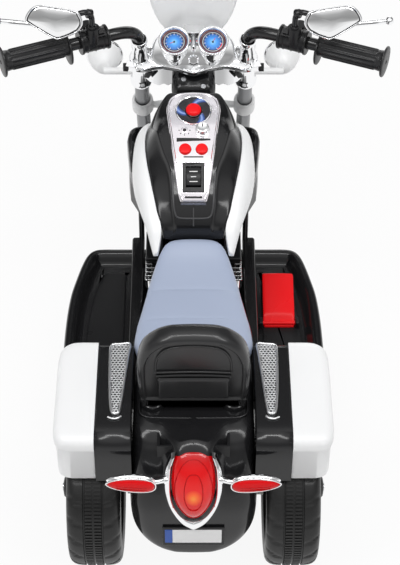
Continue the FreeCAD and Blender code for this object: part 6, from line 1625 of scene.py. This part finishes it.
def keep():
    for name, thing in frame["nodes"].items():
        mat = MATS["white_gloss" if name == "light_bar" else SLOT_OF[name]]
        if thing.data.materials:
            for k in range(len(thing.data.materials)):
                thing.data.materials[k] = mat
        else:
            thing.data.materials.append(mat)
        if name in KEPT_EDGES:
            weld = thing.modifiers.new("weld", "WELD")
            weld.merge_threshold = 1e-6
            round_edges(thing, KEPT_EDGES[name], 3, 40)


# Floor, light and camera

FLOOR_CORNERS = ((-9, -9, -0.0005), (9, -9, -0.0005), (9, 9, -0.0005), (-9, 9, -0.0005))
# Brightness of the room by height, behind the machine and ahead of it
BEHIND_GREYS = ((0.0, 1.0), (0.08, 0.92), (0.34, 0.36), (0.55, 0.50), (0.72, 0.95), (1.0, 1.25))
AHEAD_GREYS = ((0.0, 0.95), (0.12, 0.95), (0.26, 0.10), (0.62, 0.06), (0.80, 0.25), (0.93, 1.0))
# Name, place, aim, size and power
AREA_LIGHTS = (("key", (-1.0, -0.9, 2.3), (0, -0.1, 0.25), (0.40, 1.0), 8.5),
               ("fill", (1.0, -0.8, 2.3), (0, -0.1, 0.25), (0.40, 1.0), 7.5),
               ("top", (0, -0.42, 2.35), (0, -0.3, 0.25), (1.5, 0.16), 9),
               ("front", (0.4, 2.4, 1.3), (0, 0, 0.3), (1.4, 0.7), 8))
PAPER_GLOW, ROOM_LIGHT = 0.92, 0.85
SENSOR = 36.0
PHOTO_TALL, FOCAL_PIXELS, SHIFT_PIXELS = 565, 1650, 6.5
CAMERA_PLACE = (0, -1.644, 1.780)
CAMERA_DOWN = 44.6


def paper_floor():
    """White paper that the camera and the reflections see nearly free of shade."""
    mesh = bpy.data.meshes.new("floor")
    mesh.from_pydata(FLOOR_CORNERS, [], [(0, 1, 2, 3)])
    floor = bpy.data.objects.new("floor", mesh)
    bpy.context.scene.collection.objects.link(floor)
    mat = bpy.data.materials.new("floor_paper")
    mat.use_nodes = True
    nodes, links = mat.node_tree.nodes, mat.node_tree.links
    bsdf = nodes["Principled BSDF"]
    bsdf.inputs["Base Color"].default_value = (0.88, 0.88, 0.88, 1)
    bsdf.inputs["Roughness"].default_value = 0.9
    glow = add(nodes, "Emission", Color=(1, 1, 1, 1), Strength=1.0)
    path = add(nodes, "LightPath")
    sharp = add(nodes, "Math", "MAXIMUM")
    clear = add(nodes, "Math", "MAXIMUM")
    seen = add(nodes, "Math", "MULTIPLY", PAPER_GLOW)
    mix = add(nodes, "MixShader")
    links.new(path.outputs["Is Camera Ray"], sharp.inputs[0])
    links.new(path.outputs["Is Glossy Ray"], sharp.inputs[1])
    links.new(sharp.outputs["Value"], clear.inputs[0])
    links.new(path.outputs["Is Transmission Ray"], clear.inputs[1])
    links.new(clear.outputs["Value"], seen.inputs[0])
    links.new(seen.outputs["Value"], mix.inputs["Fac"])
    links.new(bsdf.outputs["BSDF"], mix.inputs[1])
    links.new(glow.outputs["Emission"], mix.inputs[2])
    links.new(mix.outputs["Shader"], nodes["Material Output"].inputs["Surface"])
    mesh.materials.append(mat)


def grey_ramp(nodes, greys):
    """Colour ramp of greys, each a place and a brightness."""
    ramp = add(nodes, "ValToRGB")
    fill_ramp(ramp, [(at, (value, value, value)) for at, value in greys])
    return ramp


def room():
    """Plain room for the reflections, darker ahead of the machine than behind it."""
    world = bpy.data.worlds.new("studio")
    bpy.context.scene.world = world
    world.use_nodes = True
    nodes, links = world.node_tree.nodes, world.node_tree.links
    place = add(nodes, "TexCoord")
    parts = add(nodes, "SeparateXYZ")
    front = grey_ramp(nodes, AHEAD_GREYS)
    around = grey_ramp(nodes, BEHIND_GREYS)
    ahead = add(nodes, "MapRange", From_Min=0.05, From_Max=0.40)
    ahead.interpolation_type = "SMOOTHSTEP"
    blend = add(nodes, "Mix")
    blend.data_type = "RGBA"
    links.new(place.outputs["Generated"], parts.inputs["Vector"])
    links.new(parts.outputs["Z"], front.inputs["Fac"])
    links.new(parts.outputs["Z"], around.inputs["Fac"])
    links.new(parts.outputs["Y"], ahead.inputs["Value"])
    links.new(ahead.outputs["Result"], blend.inputs["Factor"])
    links.new(around.outputs["Color"], blend.inputs["A"])
    links.new(front.outputs["Color"], blend.inputs["B"])
    lit = nodes["Background"]
    links.new(blend.outputs["Result"], lit.inputs["Color"])
    lit.inputs["Strength"].default_value = ROOM_LIGHT


def area_lights():
    for name, spot, aim, size, power in AREA_LIGHTS:
        lamp = bpy.data.lights.new(name, "AREA")
        lamp.shape = "RECTANGLE"
        lamp.size, lamp.size_y = size
        lamp.energy = power
        thing = bpy.data.objects.new(name, lamp)
        thing.location = spot
        thing.rotation_mode = "QUATERNION"
        thing.rotation_quaternion = (Vector(aim) - Vector(spot)).to_track_quat("-Z", "Y")
        bpy.context.scene.collection.objects.link(thing)


def photo_camera():
    """Camera fitted to the photo."""
    scene = bpy.context.scene
    lens = bpy.data.cameras.new("camera")
    camera = bpy.data.objects.new("camera", lens)
    scene.collection.objects.link(camera)
    scene.camera = camera
    lens.sensor_fit = "AUTO"
    lens.sensor_width = SENSOR
    lens.lens = SENSOR * FOCAL_PIXELS / PHOTO_TALL
    lens.shift_x = SHIFT_PIXELS / PHOTO_TALL
    lens.shift_y = 0.0
    lens.clip_start = 0.05
    camera.location = CAMERA_PLACE
    camera.rotation_euler = (math.radians(90 - CAMERA_DOWN), 0, 0)
    scene.view_settings.view_transform = "Standard"


# The whole machine, in its room

keep()
tank()
for sign, word in SIDES:
    side_panel(sign, word)
    flank(sign, word)
    saddlebag(sign, word)
    footboard(sign, word)
    mirror(sign, word)
flank_lips()
control_panel()
panel_trim()
controls()
seat()
seat_skirt()
backrest()
rear_body()
mudguards()
grille()
tail_lamp()
turn_signals()
plate()
wheels()
pedal()
engine()
handlebar()
grips()
mounts()
neck()
yoke()
lower_clamp()
gauges()
lamps()
windshield()
front_mudguard()
paper_floor()
room()
area_lights()
photo_camera()
